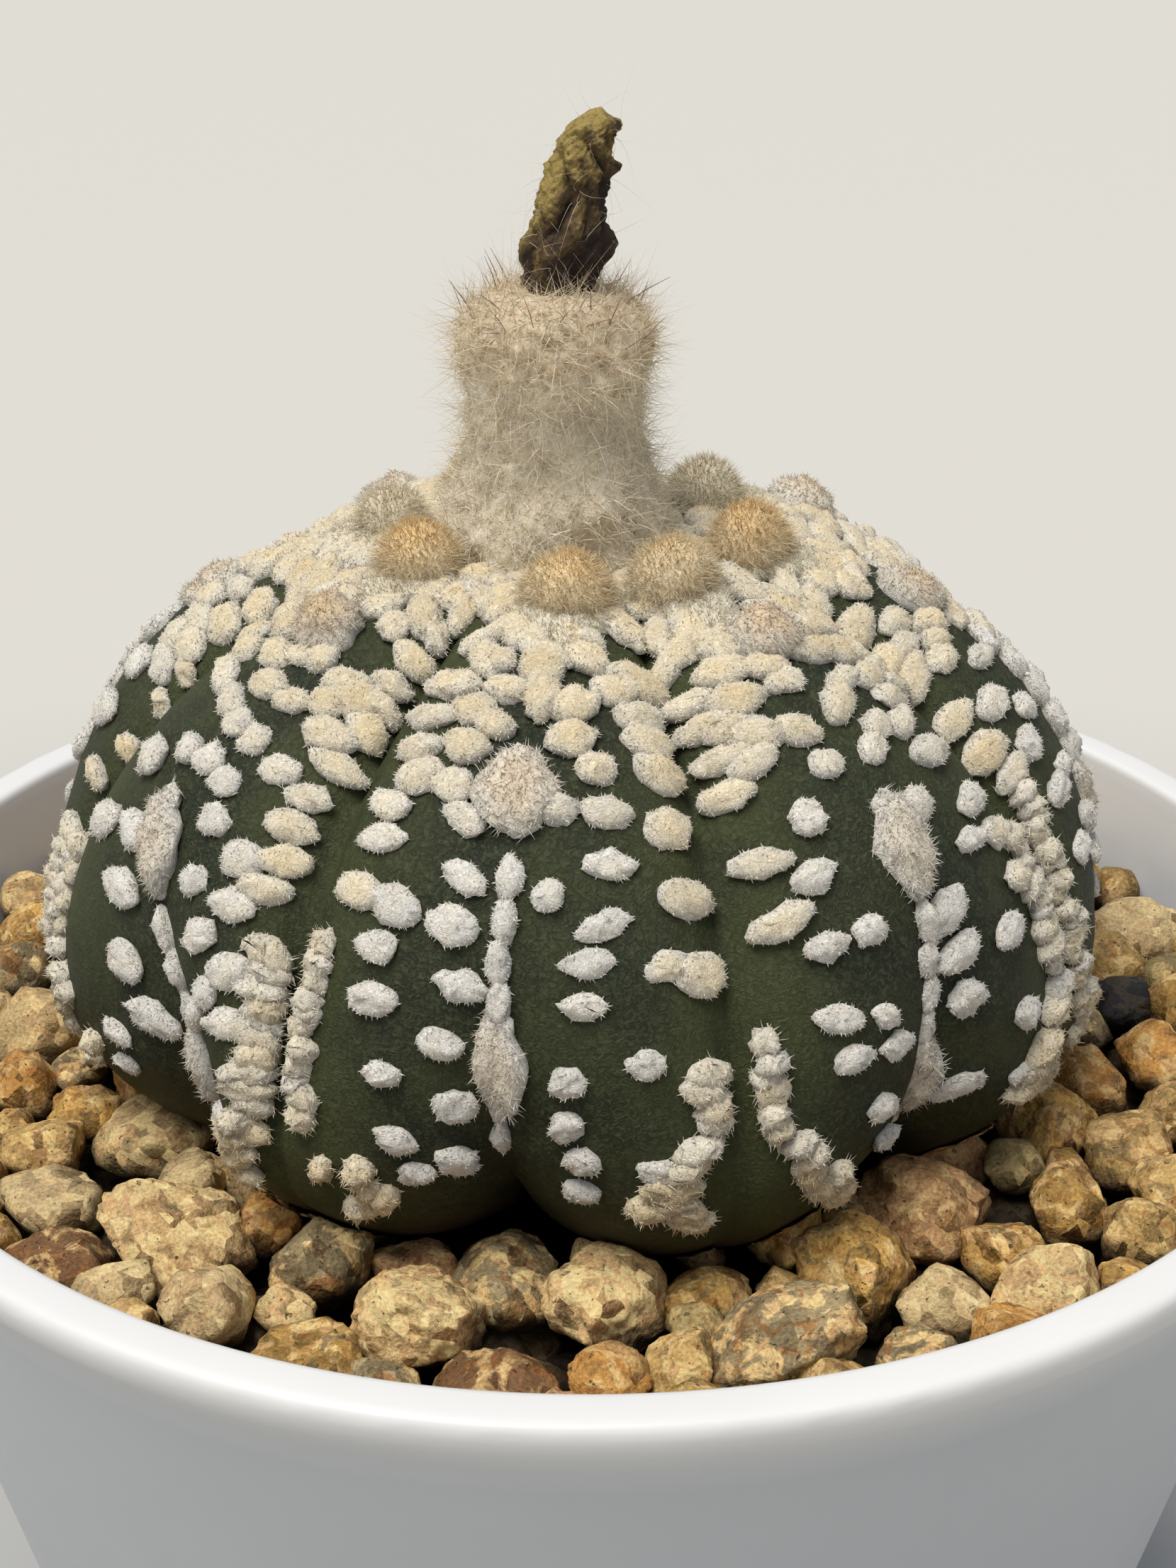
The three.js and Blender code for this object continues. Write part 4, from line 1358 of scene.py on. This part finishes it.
@dataclass
class Fruit:
    """The woolly, waisted fruit, with bristles round its top."""

    x: float = -2.1
    y: float = 0.6
    profile: tuple[tuple[float, float], ...] = (
        (3, 26.4), (6.5, 26.6), (7.3, 27.8), (7.0, 29.8), (6.1, 32.5), (5.3, 35), (5.3, 37.5),
        (6.1, 39.8), (6.0, 41.5), (5.2, 43.0), (4.0, 43.9), (2.8, 44.2), (0.6, 44.2))
    sides: int = 96
    rows: int = 90
    bristle_count: int = 28
    bristle_length: float = 3.4

    def barrel(self) -> bpy.types.Object:
        """Return the lumpy barrel that the wool grows on."""
        r, z = along(self.profile, self.rows)
        angle = turns(self.sides)
        rings = np.stack([self.x + r * np.cos(angle), self.y + r * np.sin(angle),
                          np.broadcast_to(RIM_Z + z, (self.rows, self.sides))], -1)
        flat = rings.reshape(-1, 3)
        lumps = 0.22 * swell(flat, 4.5, 6) + 0.18 * swell(flat, 1.7, 7) + 0.1 * swell(flat, 0.9, 5)
        lumps = lumps.reshape(rings.shape[:2])
        rings[..., :2] += (rings[..., :2] - (self.x, self.y)) * (lumps / 6)[..., None]
        points, triangles = loft(rings)
        height = points[:, 2] - RIM_Z
        comb = points - (self.x, self.y, 0)
        comb[:, 2] = 0
        comb /= np.linalg.norm(comb, axis=1, keepdims=True) + 1e-6
        comb = comb * 0.3 + (0, 0, 1) * smooth(height, 39, 43)[:, None] * 0.45
        comb[:, 2] -= 0.4 * smooth(height, 34, 28)
        shade = 0.5 + 0.5 * swell(points, 0.9, 15)
        return mesh_object("fruit_barrel", points, triangles, {
            "fluff": np.where(height > 26.6, 1.0, 0.0), "comb": comb,
            "reach": 0.9 + 0.2 * swell(points, 3.5, 19), "rise": np.full(len(points), 0.9),
            "warm": np.clip(0.05 + 0.45 * smooth(height, 38, 41.5) + 0.55 * shade, 0, 1),
        })

    def bristles(self) -> bpy.types.Object:
        """Return the thin bristles that stand round the top."""
        rng = np.random.default_rng(17)
        table = np.array(self.profile)
        made = []
        for _ in range(self.bristle_count):
            turn, height = rng.uniform(0, 2 * math.pi), 44.0 - 3.6 * rng.uniform() ** 1.4
            r = float(np.interp(height, table[4:12, 1], table[4:12, 0])) - 0.2
            foot = np.array([self.x + r * math.cos(turn), self.y + r * math.sin(turn),
                             RIM_Z + height])
            lift = 0.75 + 0.3 * (height - 40) / 4 + rng.normal() * 0.25
            swing = turn + rng.normal() * 0.45
            way = np.array([math.cos(swing) * math.cos(lift), math.sin(swing) * math.cos(lift),
                            math.sin(lift)])
            made.append(self._needle(foot, way, self.bristle_length * rng.uniform(0.6, 1.0)))
        return joined("fruit_bristles", made)

    @staticmethod
    def _needle(foot: Array, way: Array, length: float) -> Part:
        """Return one thin four-sided needle, slightly bent, and how far up its points are."""
        side = np.cross(way, (0.3, 0.2, 1.0))
        side /= np.linalg.norm(side)
        other = np.cross(way, side)
        angle = turns(4)[:, None]
        shares, rings = (0.0, 0.5, 1.0), []
        for share, radius in zip(shares, (0.045, 0.035, 0.01)):
            centre = foot + way * length * share + other * (0.25 * share * share)
            rings.append(centre + radius * (np.cos(angle) * side + np.sin(angle) * other))
        rise = np.append(np.repeat(shares, len(angle)), (0.0, 1.0))
        return *loft(np.array(rings)), {"rise": rise}

    def build(self) -> None:
        """Make and place the fruit."""
        wool = WoolFinish("fruit_wool", GREY_CREAM, 1.0, 0.12).material()
        barrel = self.barrel()
        barrel.data.materials.append(wool)
        felt = strand_grower(3).grow(barrel, "fruit_felt", wool, Density=9.0, Length=1.5,
                                     Width=0.045, Lift=0.18, Spread=0.8, Bend=1.5, Comb=0.2,
                                     Sink=0.0, Seed=21)
        hair = strand_grower(2).grow(barrel, "fruit_hair", wool, Density=5.0, Length=2.1,
                                     Width=0.02, Lift=0.4, Spread=1.0, Bend=1.6, Comb=0.4,
                                     Seed=22)
        spines = self.bristles()
        spines.data.materials.append(BristleFinish().material())
        for piece in (barrel, felt, hair, spines):
            settle(piece, "fruit_wool", "fruit")


@dataclass
class DriedFlower:
    """The shrivelled flower that still stands on the fruit and leans to the right."""

    x: float = -2.0
    y: float = 0.6
    lean: float = 2.3
    profile: tuple[tuple[float, float], ...] = (
        (1.3, 42.3), (1.6, 43), (1.95, 44.5), (2.2, 47), (2.1, 49), (1.65, 50.8), (1.5, 52),
        (1.6, 53.2), (1.5, 54.0), (0.95, 54.7), (0.25, 54.9))
    sides: int = 116
    rows: int = 104

    def folds(self) -> bpy.types.Object:
        """Return the crumpled tube, with painted light: lighter where it stands out of its folds,
        high up and on its left.
        """
        r, z = along(self.profile, self.rows)
        climb = (z - z[0]) / (z[-1] - z[0])
        angle = turns(self.sides)[None, :]
        twist = angle + 1.6 * climb + 0.5 * np.sin(7 * climb)
        creases = (np.abs(np.sin(2 * twist + 0.9 * np.sin(8 * climb))) ** 0.7 * 0.26
                   + np.abs(np.sin(4.5 * twist + 4 * climb)) * 0.14 - 0.2)
        wrinkles = 0.06 * np.sin(38 * climb + 3 * np.sin(2 * twist)) * smooth(climb, 0.45, 0.95)
        bulge = (0.22 * np.exp(-((climb - 0.36) / 0.09) ** 2) * np.cos(angle).clip(0)
                 + 0.3 * np.exp(-((climb - 0.73) / 0.035) ** 2) * np.cos(angle - 0.2).clip(0) ** 4
                 + 0.12 * np.exp(-((climb - 0.33) / 0.04) ** 2) * np.cos(angle - 3.5).clip(0) ** 6)
        r = r * (1 + creases * (1 - 0.5 * smooth(climb, 0.75, 1.0)) + wrinkles + bulge)
        flat = np.stack([r * np.cos(angle), r * np.sin(angle), np.broadcast_to(z, r.shape)], -1)
        spots = flat.reshape(-1, 3)
        rough = 0.16 * swell(spots, 2.4, 18) + 0.14 * swell(spots, 1.1, 8) + 0.09 * swell(
            spots, 0.5, 9)
        r = r + rough.reshape(r.shape) * smooth(climb, 0, 0.08) * smooth(climb, 1.0, 0.9)
        hook = 0.75 * smooth(climb, 0.85, 1.0)
        x = self.x + self.lean * climb ** 1.5 + hook + r * np.cos(angle)
        y = self.y + 0.85 * r * np.sin(angle)
        rings = np.stack([x, y, RIM_Z + np.broadcast_to(z, r.shape)
                          - 0.4 * hook * np.cos(angle)], -1)
        points, triangles = loft(rings)
        # Painted light and shade: lighter on the crests of the creases, higher up and on the left,
        # darker in the folds and on the right.
        light = 0.3 + creases * 1.6 + 1.0 * (climb - 0.5) - 0.3 * np.cos(angle + 0.3)
        fold = np.append(np.broadcast_to(np.clip(light, 0, 1), r.shape).ravel(), [0.2, 0.8])
        return mesh_object("dried_flower_folds", points, triangles, {
            "fold": fold, "fluff": np.ones(len(points)), "reach": np.ones(len(points)),
            "comb": np.tile((0.0, 0.0, 1.0), (len(points), 1)),
            "warm": np.full(len(points), 0.3),
        })

    def build(self) -> None:
        """Make and place the dried flower and the wisps of wool on it."""
        piece = self.folds()
        piece.data.materials.append(PetalFinish().material())
        wisps = WoolFinish("wisps", GREY_CREAM, 0.9).material()
        hair = strand_grower(5).grow(piece, "flower_wisps", wisps, Density=0.42, Length=2.4,
                                     Width=0.016, Lift=0.8, Spread=1.1, Bend=1.6, Comb=0.2,
                                     Sink=0.02, Seed=33)
        settle(piece, "petal", "dried_flower")
        settle(hair, "petal", "dried_flower")


# The pot and what fills it

@dataclass
class Pot:
    """The round white pot, with a rounded lip, a foot ring and drain holes."""

    wall_top: float = RIM_RADIUS - 1.3
    taper: float = math.radians(12.5)
    thickness: float = 2.2
    lip_depth: float = 3.0
    lip_width: float = 3.0
    foot_height: float = 2.0
    foot_width: float = 2.6
    floor_top: float = 4.2
    drain: float = 6.0
    side_drain: float = 3.4
    side_drain_circle: float = 18.0
    side_drains: int = 4
    drain_sides: int = 28
    notches: int = 3
    notch_width: float = 9.0
    notch_height: float = 1.1
    notch_reach: float = 7.8
    sides: int = 216

    def wall(self, z: float) -> float:
        """Return the wall's outer radius at a height."""
        return self.wall_top - math.tan(self.taper) * (RIM_Z - self.lip_depth - z)

    def inner(self, z: float) -> float:
        """Return the wall's inner radius at a height."""
        return self.wall(z) - self.thickness / math.cos(self.taper)

    def profile(self) -> Array:
        """Return the wall's section, once round, with rounded edges."""
        foot, top, rim = self.wall(0), RIM_Z, RIM_RADIUS
        lip = rim - self.lip_width
        inside = foot - self.foot_width
        # Each corner is a radius, a height and how far its rounding reaches. The four up the
        # wall lie on a straight line, and keep its shading smooth above the foot's notches.
        corners = [
            (inside, 0, 0.3), (foot, 0, 0.5),
            *((self.wall(z), z, r) for z, r in ((1.8, 0.2), (6, 0.3), (30, 2), (top - 3.4, 1.0))),
            (rim - 0.1, top - 2.0, 0.8), (rim, top, 0.95), (lip, top, 0.6),
            (self.inner(top - 3), top - 3, 1.5), (self.inner(self.floor_top), self.floor_top, 2.0),
            (self.drain, self.floor_top, 0.4), (self.drain, self.foot_height, 0.3),
            (inside, self.foot_height, 0.5),
        ]
        points: list[Vector] = []
        for k, (r, z, radius) in enumerate(corners):
            here = Vector((r, z))
            before, after = (Vector(corners[(k + step) % len(corners)][:2]) for step in (-1, 1))
            start = here + (before - here).normalized() * radius
            end = here + (after - here).normalized() * radius
            for t in np.linspace(0, 1, 5):
                points.append(start.lerp(here, t).lerp(here.lerp(end, t), t))
        return np.array([(p.x, p.y) for p in points])

    def build(self) -> None:
        """Make and place the pot."""
        section = self.profile()
        angle = turns(self.sides)
        r = np.broadcast_to(section[:, :1], (len(section), self.sides)).copy()
        z = np.broadcast_to(section[:, 1:], (len(section), self.sides)).copy()
        edge = (z > RIM_Z - 0.5) * (r > RIM_RADIUS - 0.6)
        rough = np.sin(23 * angle) * np.sin(41 * angle + 1) + 0.6 * np.sin(77 * angle + 2)
        r += 0.05 * edge * rough[None, :]
        rings = np.stack([r * np.sin(angle), -r * np.cos(angle), z], -1)
        points, triangles = loft(rings, capped=False)
        piece = mesh_object("pot_shell", points, triangles)
        cutters = [self._hole(45 + 360 / self.side_drains * k) for k in range(self.side_drains)]
        cutters += [self._notch(90 + 360 / self.notches * k) for k in range(self.notches)]
        for cutter in cutters:
            cut = piece.modifiers.new("cut", "BOOLEAN")
            cut.operation, cut.solver, cut.object = "DIFFERENCE", "EXACT", cutter
        graph = bpy.context.evaluated_depsgraph_get()
        mesh = bpy.data.meshes.new_from_object(piece.evaluated_get(graph))
        piece.modifiers.clear()
        piece.data = mesh
        for cutter in cutters:
            bpy.data.objects.remove(cutter)
        piece.data.materials.clear()
        piece.data.materials.append(PotFinish().material())
        settle(piece, "pot", "pot")

    def _hole(self, degrees: float) -> bpy.types.Object:
        """Return the cutter of one side drain hole."""
        turn = turns(self.drain_sides)
        x, y = self.side_drain_circle * self._way(degrees)
        return self._cutter(x + self.side_drain * np.cos(turn), y + self.side_drain * np.sin(turn),
                            self.floor_top + 2.8)

    def _notch(self, degrees: float) -> bpy.types.Object:
        """Return the cutter of one drain notch in the foot ring."""
        middle = self.wall(0) - self.foot_width / 2
        out = self._way(degrees)
        side = np.array([-out[1], out[0]])
        reach, half = self.notch_reach / 2, self.notch_width / 2
        corners = np.array([(middle + a * reach) * out + b * half * side
                            for a, b in ((-1, -1), (1, -1), (1, 1), (-1, 1))])
        return self._cutter(corners[:, 0], corners[:, 1], self.notch_height)

    @staticmethod
    def _way(degrees: float) -> Array:
        """Return the direction of an angle, as x and y."""
        return np.array([math.cos(math.radians(degrees)), math.sin(math.radians(degrees))])

    @staticmethod
    def _cutter(x: Array, y: Array, top: float) -> bpy.types.Object:
        """Return an upright cutter from just below the foot to a height."""
        rings = [np.stack([x, y, np.full(len(x), z)], -1) for z in (-1.0, top)]
        return mesh_object("cutter", *loft(np.array(rings)))


class Tone(Enum):
    """The colours that the pebbles come in, with how mottled each is."""

    OCHRE = ((0.42, 0.25, 0.07), 0.8)
    TAN = ((0.43, 0.28, 0.1), 0.7)
    CREAM = ((0.58, 0.42, 0.2), 0.5)
    PINK = ((0.5, 0.29, 0.13), 0.6)
    ORANGE = ((0.45, 0.23, 0.06), 0.6)
    RUST = ((0.19, 0.095, 0.04), 0.7)
    GREEN = ((0.26, 0.2, 0.085), 0.4)
    GREY = ((0.26, 0.2, 0.105), 0.9)
    BEIGE = ((0.52, 0.39, 0.2), 0.2)
    BLACK = ((0.02, 0.02, 0.022), 0.05)


@dataclass(frozen=True)
class Pebble:
    """One pebble: its place, its half width, its stretch, its turn and its tone."""

    x: float
    y: float
    size: float
    long: float = 1.0
    turn: float = 0.0
    tone: Tone = Tone.TAN
    lift: float = 0.0


# The pebbles that show most, in front of the plant and beside it
SEEN_PEBBLES = (
    Pebble(-38, -3, 3.4, 1.15, 20, Tone.CREAM), Pebble(-38, -10, 2.4, 1.0, 0, Tone.ORANGE),
    Pebble(-33, -13, 2.2, 1.1, 40, Tone.OCHRE), Pebble(-28, -16, 3.1, 1.15, -30, Tone.CREAM),
    Pebble(-35, -17, 2.4, 1.2, 10, Tone.TAN), Pebble(-33, -23, 2.6, 1.3, -35, Tone.BEIGE),
    Pebble(-25, -27, 3.4, 1.45, -25, Tone.CREAM), Pebble(-16, -29, 3.1, 1.05, 60, Tone.GREY),
    Pebble(-22, -34, 2.9, 0.95, 0, Tone.BEIGE, 0.8), Pebble(-10, -35, 3.7, 1.0, 15, Tone.CREAM, 0.5),
    Pebble(-32, -29, 2.6, 1.3, -30, Tone.RUST), Pebble(-5, -31, 3.2, 1.2, 70, Tone.GREY),
    Pebble(-16, -38, 2.6, 1.3, -10, Tone.OCHRE), Pebble(-5, -40, 2.6, 1.5, 0, Tone.RUST, -0.5),
    Pebble(1, -33, 3.6, 1.1, 85, Tone.CREAM, 0.4), Pebble(1, -40, 2.3, 1.1, 0, Tone.ORANGE),
    Pebble(5, -39, 2.2, 1.2, 50, Tone.TAN), Pebble(7, -32, 2.5, 1.2, 20, Tone.OCHRE, -0.8),
    Pebble(11, -37, 3.4, 1.5, 12, Tone.GREY, 0.6), Pebble(16, -30, 3.3, 1.25, 80, Tone.OCHRE),
    Pebble(14, -41, 2.2, 1.2, 0, Tone.TAN), Pebble(21, -33, 2.7, 1.05, 35, Tone.BEIGE),
    Pebble(21, -24, 3.5, 1.3, 25, Tone.PINK), Pebble(19, -38, 2.2, 1.1, 0, Tone.GREY),
    Pebble(24, -36, 2.2, 1.2, 30, Tone.ORANGE), Pebble(27, -32, 2.6, 1.4, 25, Tone.CREAM),
    Pebble(25, -28, 2.4, 1.1, 0, Tone.OCHRE), Pebble(30, -23, 2.8, 1.15, 50, Tone.OCHRE),
    Pebble(34, -26, 2.5, 1.1, 20, Tone.TAN), Pebble(35, -17, 2.7, 1.1, 60, Tone.TAN),
    Pebble(34, -9, 2.6, 1.1, 90, Tone.ORANGE), Pebble(38, 1, 2.3, 1.1, 10, Tone.BLACK, 0.4),
    Pebble(39, -6, 2.4, 1.0, 70, Tone.ORANGE), Pebble(39, -13, 2.3, 1.1, 30, Tone.TAN),
    Pebble(41, 11, 3.2, 1.1, 80, Tone.BEIGE), Pebble(-42, 6, 2.7, 1.0, 0, Tone.GREY),
)


@dataclass
class Gravel:
    """The pebbles on a bed of dark grit, in the ring between the plant and the pot."""

    form: PlantForm
    pot: Pot
    level: float = RIM_Z - 7.6
    under_level: float = RIM_Z - 11.2
    under_count: int = 90
    inner: float = 27.5
    outer: float = 47.5
    under_outer: float = 43.5
    bed_inner: float = 25.0
    bed_base: float = RIM_Z - 16.5
    bed_top: float = RIM_Z - 11
    bed_gap: float = 0.3
    bed_sides: int = 96
    packing: float = 0.9
    plant_gap: float = 0.25
    pot_gap: float = 0.15
    cuts: int = 8
    chips: int = 34

    @staticmethod
    def _ball(level: int) -> tuple[Array, Array]:
        """Return a unit ball of triangles."""
        shape = bmesh.new()
        bmesh.ops.create_icosphere(shape, subdivisions=level, radius=1.0)
        points = np.array([v.co for v in shape.verts])
        triangles = np.array([[v.index for v in f.verts] for f in shape.faces])
        shape.free()
        return points, triangles

    def _stone(self, ball: Array, pebble: Pebble, seed: int) -> Array:
        """Shape a ball as one crushed stone.

        Broad cuts give it its faces, small shallow ones chip its edges, and a few waves make
        it craggy.

        Args:
            ball: points on the unit ball.
            pebble: the stone's size, stretch and turn.
            seed: what fixes its shape.

        Returns:
            The stone's points, round the origin.
        """
        rng = np.random.default_rng(seed)
        radius = np.full(len(ball), 1.12)
        for count, low, high, worn in ((self.cuts, 0.64, 0.9, 60.0),
                                       (self.chips, 0.82, 1.02, 40.0)):
            ways = rng.normal(size=(count, 3))
            ways /= np.linalg.norm(ways, axis=1, keepdims=True)
            reach = np.maximum(ball @ ways.T, 0.05) / rng.uniform(low, high, count)
            cut = (reach ** worn).sum(axis=1) ** (-1 / worn)
            radius = np.minimum(radius, cut)
        radius *= (1 + 0.03 * swell(ball, 0.9, seed) + 0.022 * swell(ball, 0.34, seed + 1)
                   + 0.014 * swell(ball, 0.15, seed + 2))
        flat = rng.uniform(0.78, 0.98)
        shaped = ball * radius[:, None] * 1.12 * (pebble.size * pebble.long, pebble.size,
                                                  pebble.size * flat)
        tilt = Euler((rng.uniform(-0.4, 0.4), rng.uniform(-0.4, 0.4),
                      math.radians(pebble.turn))).to_matrix()
        return shaped @ np.array(tilt).T

    def _scatter(self) -> list[Pebble]:
        """Return the pebbles of the top layer: the chosen ones, then smaller and smaller ones."""
        rng = np.random.default_rng(29)
        placed = list(SEEN_PEBBLES)
        plain = (Tone.OCHRE, Tone.TAN, Tone.OCHRE, Tone.BEIGE, Tone.TAN, Tone.PINK, Tone.ORANGE,
                 Tone.GREY, Tone.OCHRE, Tone.GREEN, Tone.CREAM)
        for size, tries in ((3.3, 500), (2.7, 900), (2.2, 1400), (1.7, 2000)):
            for _ in range(tries):
                r = math.sqrt(rng.uniform(self.inner ** 2, self.outer ** 2))
                turn = rng.uniform(0, 2 * math.pi)
                half = size * rng.uniform(0.88, 1.12)
                x, y = r * math.cos(turn), r * math.sin(turn)
                if r + half * 0.8 > self.pot.inner(self.level) or any(
                        math.hypot(x - p.x, y - p.y) < self.packing * (half + p.size)
                        for p in placed):
                    continue
                placed.append(Pebble(x, y, half, rng.uniform(1.0, 1.25), rng.uniform(0, 180),
                                     plain[rng.integers(len(plain))], rng.uniform(-0.7, 0.6)))
        return placed

    def _clear_of_plant(self, points: Array) -> Array:
        """Return points pushed out of the plant, so that no pebble pokes through its skin."""
        offset = points[:, :2] - (self.form.x, self.form.y)
        angle = np.arctan2(offset[:, 0], -offset[:, 1])
        depths = np.arange(90.0, 142.0, 1.0)
        rows = self.form.points(angle[:, None], depths[None, :], self.plant_gap)
        radii = np.hypot(rows[..., 0] - self.form.x, rows[..., 1] - self.form.y)
        heights = rows[..., 2]
        nearest = np.abs(heights - points[:, 2:3]).argmin(axis=1)
        skin = radii[np.arange(len(points)), nearest]
        r = np.hypot(*offset.T)
        grow = np.where(points[:, 2] < self.form.equator_z, np.maximum(skin / r, 1.0), 1.0)
        cleared = points.copy()
        cleared[:, :2] = (self.form.x, self.form.y) + offset * grow[:, None]
        return cleared

    def _inside_pot(self, points: Array) -> Array:
        """Return points held inside the pot's wall."""
        limit = np.array([self.pot.inner(z) for z in points[:, 2]]) - self.pot_gap
        r = np.hypot(points[:, 0], points[:, 1])
        held = points.copy()
        held[:, :2] *= np.minimum(limit / r, 1.0)[:, None]
        return held

    def _laid(self, ball: tuple[Array, Array], pebble: Pebble, level: float,
              seed: int) -> Part:
        """Shape, place and colour one pebble.

        Args:
            ball: the unit ball's points and triangles.
            pebble: the pebble.
            level: the height of its middle.
            seed: its number, which fixes its shape and its shade.

        Returns:
            Its points, triangles and attributes.
        """
        points, triangles = ball
        shaped = self._stone(points, pebble, 100 + seed) + (pebble.x, pebble.y, level)
        shaped = self._inside_pot(self._clear_of_plant(shaped))
        colour, mottle = pebble.tone.value
        size = len(shaped)
        return shaped, triangles, {
            "tone": np.tile(np.array(colour) * (0.84 + 0.36 * draw(seed, 7)), (size, 1)),
            "tint": np.full(size, draw(seed, 8)), "mottle": np.full(size, mottle),
            # Painted shade: each stone darkens below the top layer's level, so the lower layer is
            # mostly dark.
            "damp": smooth(shaped[:, 2], self.level + 0.8, self.level - 1.3),
        }

    def _fineness(self, pebble: Pebble) -> int:
        """Return how finely a pebble of the top layer is modelled."""
        if pebble.y < -14 and pebble.size > 3.25:
            return 5
        if pebble.size > 2.0 and (pebble.y < -8 or pebble in SEEN_PEBBLES):
            return 4
        return 3

    def build(self) -> None:
        """Make and place the pebbles and the grit under them."""
        rng = np.random.default_rng(31)
        balls = {level: self._ball(level) for level in (2, 3, 4, 5)}
        top = self._scatter()
        stones = [(self._fineness(p), p, self.level + p.lift) for p in top]
        for _ in range(self.under_count):
            r, turn = rng.uniform(self.inner, self.under_outer), rng.uniform(0, 2 * math.pi)
            tone = (Tone.RUST, Tone.GREY, Tone.OCHRE)[rng.integers(3)]
            under = Pebble(r * math.cos(turn), r * math.sin(turn), rng.uniform(2.2, 3.0), 1.1,
                           rng.uniform(0, 180), tone)
            stones.append((2, under, self.under_level))
        finish = PebbleFinish().material()
        for name, chosen in (("pebbles_fine", (4, 5)), ("pebbles_plain", (2, 3))):
            piece = joined(name, [
                self._laid(balls[fineness], pebble, level, seed)
                for seed, (fineness, pebble, level) in enumerate(stones) if fineness in chosen])
            piece.data.materials.append(finish)
            settle(piece, "gravel", "gravel")
        LOG.info("%d pebbles on top", len(top))
        self._bed()

    def _bed(self) -> None:
        """Make and place the dark grit under the pebbles."""
        angle = turns(self.bed_sides)
        outer = [self.pot.inner(z) - self.bed_gap for z in (self.bed_base, self.bed_top)]
        section = [(self.bed_inner, self.bed_base), (outer[0], self.bed_base)]
        section += [(r, self.bed_top) for r in np.linspace(outer[1], self.bed_inner, 14)]
        rings = []
        for r, z in section:
            ring = np.stack([r * np.cos(angle), r * np.sin(angle), np.full(len(angle), z)], -1)
            ring[:, 2] += 0.5 * swell(ring, 3, 12) * (z == self.bed_top)
            rings.append(ring)
        points, triangles = loft(np.array(rings), capped=False)
        piece = mesh_object("grit_bed", self._clear_of_plant(points), triangles)
        # The grit is near black: partly its own dark colour, partly painted shade for the gaps
        # between the pebbles.
        finish = GritFinish("grit", (0.008, 0.006, 0.004), (0.04, 0.024, 0.012))
        piece.data.materials.append(finish.material())
        settle(piece, "gravel", "gravel")


@dataclass
class Soil:
    """The soil under the pebbles, which shows only through the drain holes."""

    def build(self) -> None:
        """Give the frame's own soil its finish."""
        finish = GritFinish("soil_dark", (0.018, 0.012, 0.008), (0.07, 0.045, 0.028))
        soil = frame["nodes"]["soil"]
        soil.data.materials.clear()
        soil.data.materials.append(finish.material())


# The room

@dataclass
class Studio:
    """A pale floor, soft light from above on the left, and the photo's camera."""

    focal_share: float = 3300 / 2212
    camera_y: float = -143.5
    camera_rise: float = 78.4
    pitch: float = 25.3
    sensor: float = 36.0
    floor_half: float = 6000.0
    sun_power: float = 3.1
    sun_spread: float = 34.0
    sun_turn: tuple[float, float] = (20.0, -50.0)
    sun_colour: Colour = (1.0, 0.96, 0.9)
    glow_colour: Colour = (0.85, 0.9, 1.0)
    glow_below: float = 0.15
    glow_climb: float = 0.42

    def camera(self) -> None:
        """Make the scene's camera."""
        data = bpy.data.cameras.new("camera")
        data.sensor_width = self.sensor
        data.lens = self.sensor * self.focal_share
        data.clip_start, data.clip_end = 0.01, 20
        made = bpy.data.objects.new("camera", data)
        made.location = Vector((0, self.camera_y, RIM_Z + self.camera_rise)) * MM
        made.rotation_euler = Euler((math.radians(90 - self.pitch), 0, 0))
        bpy.context.collection.objects.link(made)
        bpy.context.scene.camera = made

    def floor(self) -> None:
        """Make the floor."""
        corners = self.floor_half * np.array([(-1, -1, 0), (1, -1, 0), (1, 1, 0), (-1, 1, 0)])
        made = mesh_object("floor", corners, np.array([(0, 1, 2), (0, 2, 3)]))
        made.data.materials.append(FloorFinish().material())

    def lights(self) -> None:
        """Make the soft light and the room's glow."""
        data = bpy.data.lights.new("window", "SUN")
        data.energy, data.angle = self.sun_power, math.radians(self.sun_spread)
        data.color = self.sun_colour
        made = bpy.data.objects.new("window", data)
        tilt, turn = (math.radians(angle) for angle in self.sun_turn)
        made.rotation_euler = Euler((tilt, 0, turn))
        bpy.context.collection.objects.link(made)
        world = bpy.data.worlds.new("room")
        world.use_nodes = True
        web = Web(world.node_tree)
        height = web.axes(web.node("ShaderNodeTexCoord")["Generated"])["Z"]
        glow = world.node_tree.nodes["Background"]
        glow.inputs["Color"].default_value = (*self.glow_colour, 1.0)
        strength = self.glow_below + self.glow_climb * height.ramp(-0.1, 0.9)
        world.node_tree.links.new(strength.socket, glow.inputs["Strength"])
        bpy.context.scene.world = world
        bpy.context.scene.view_settings.view_transform = "Standard"

    def build(self) -> None:
        """Make the whole room."""
        self.camera()
        self.floor()
        self.lights()


def main() -> None:
    """Build the room and the plant in its pot."""
    logging.basicConfig(level=logging.INFO, format="%(name)s: %(message)s")
    Studio().build()
    form, pot = PlantForm(), Pot()
    pot.build()
    Soil().build()
    Gravel(form, pot).build()
    Cactus(form).build()
    Crown(form).build()
    Fruit().build()
    DriedFlower().build()


if __name__ == "__main__":
    main()
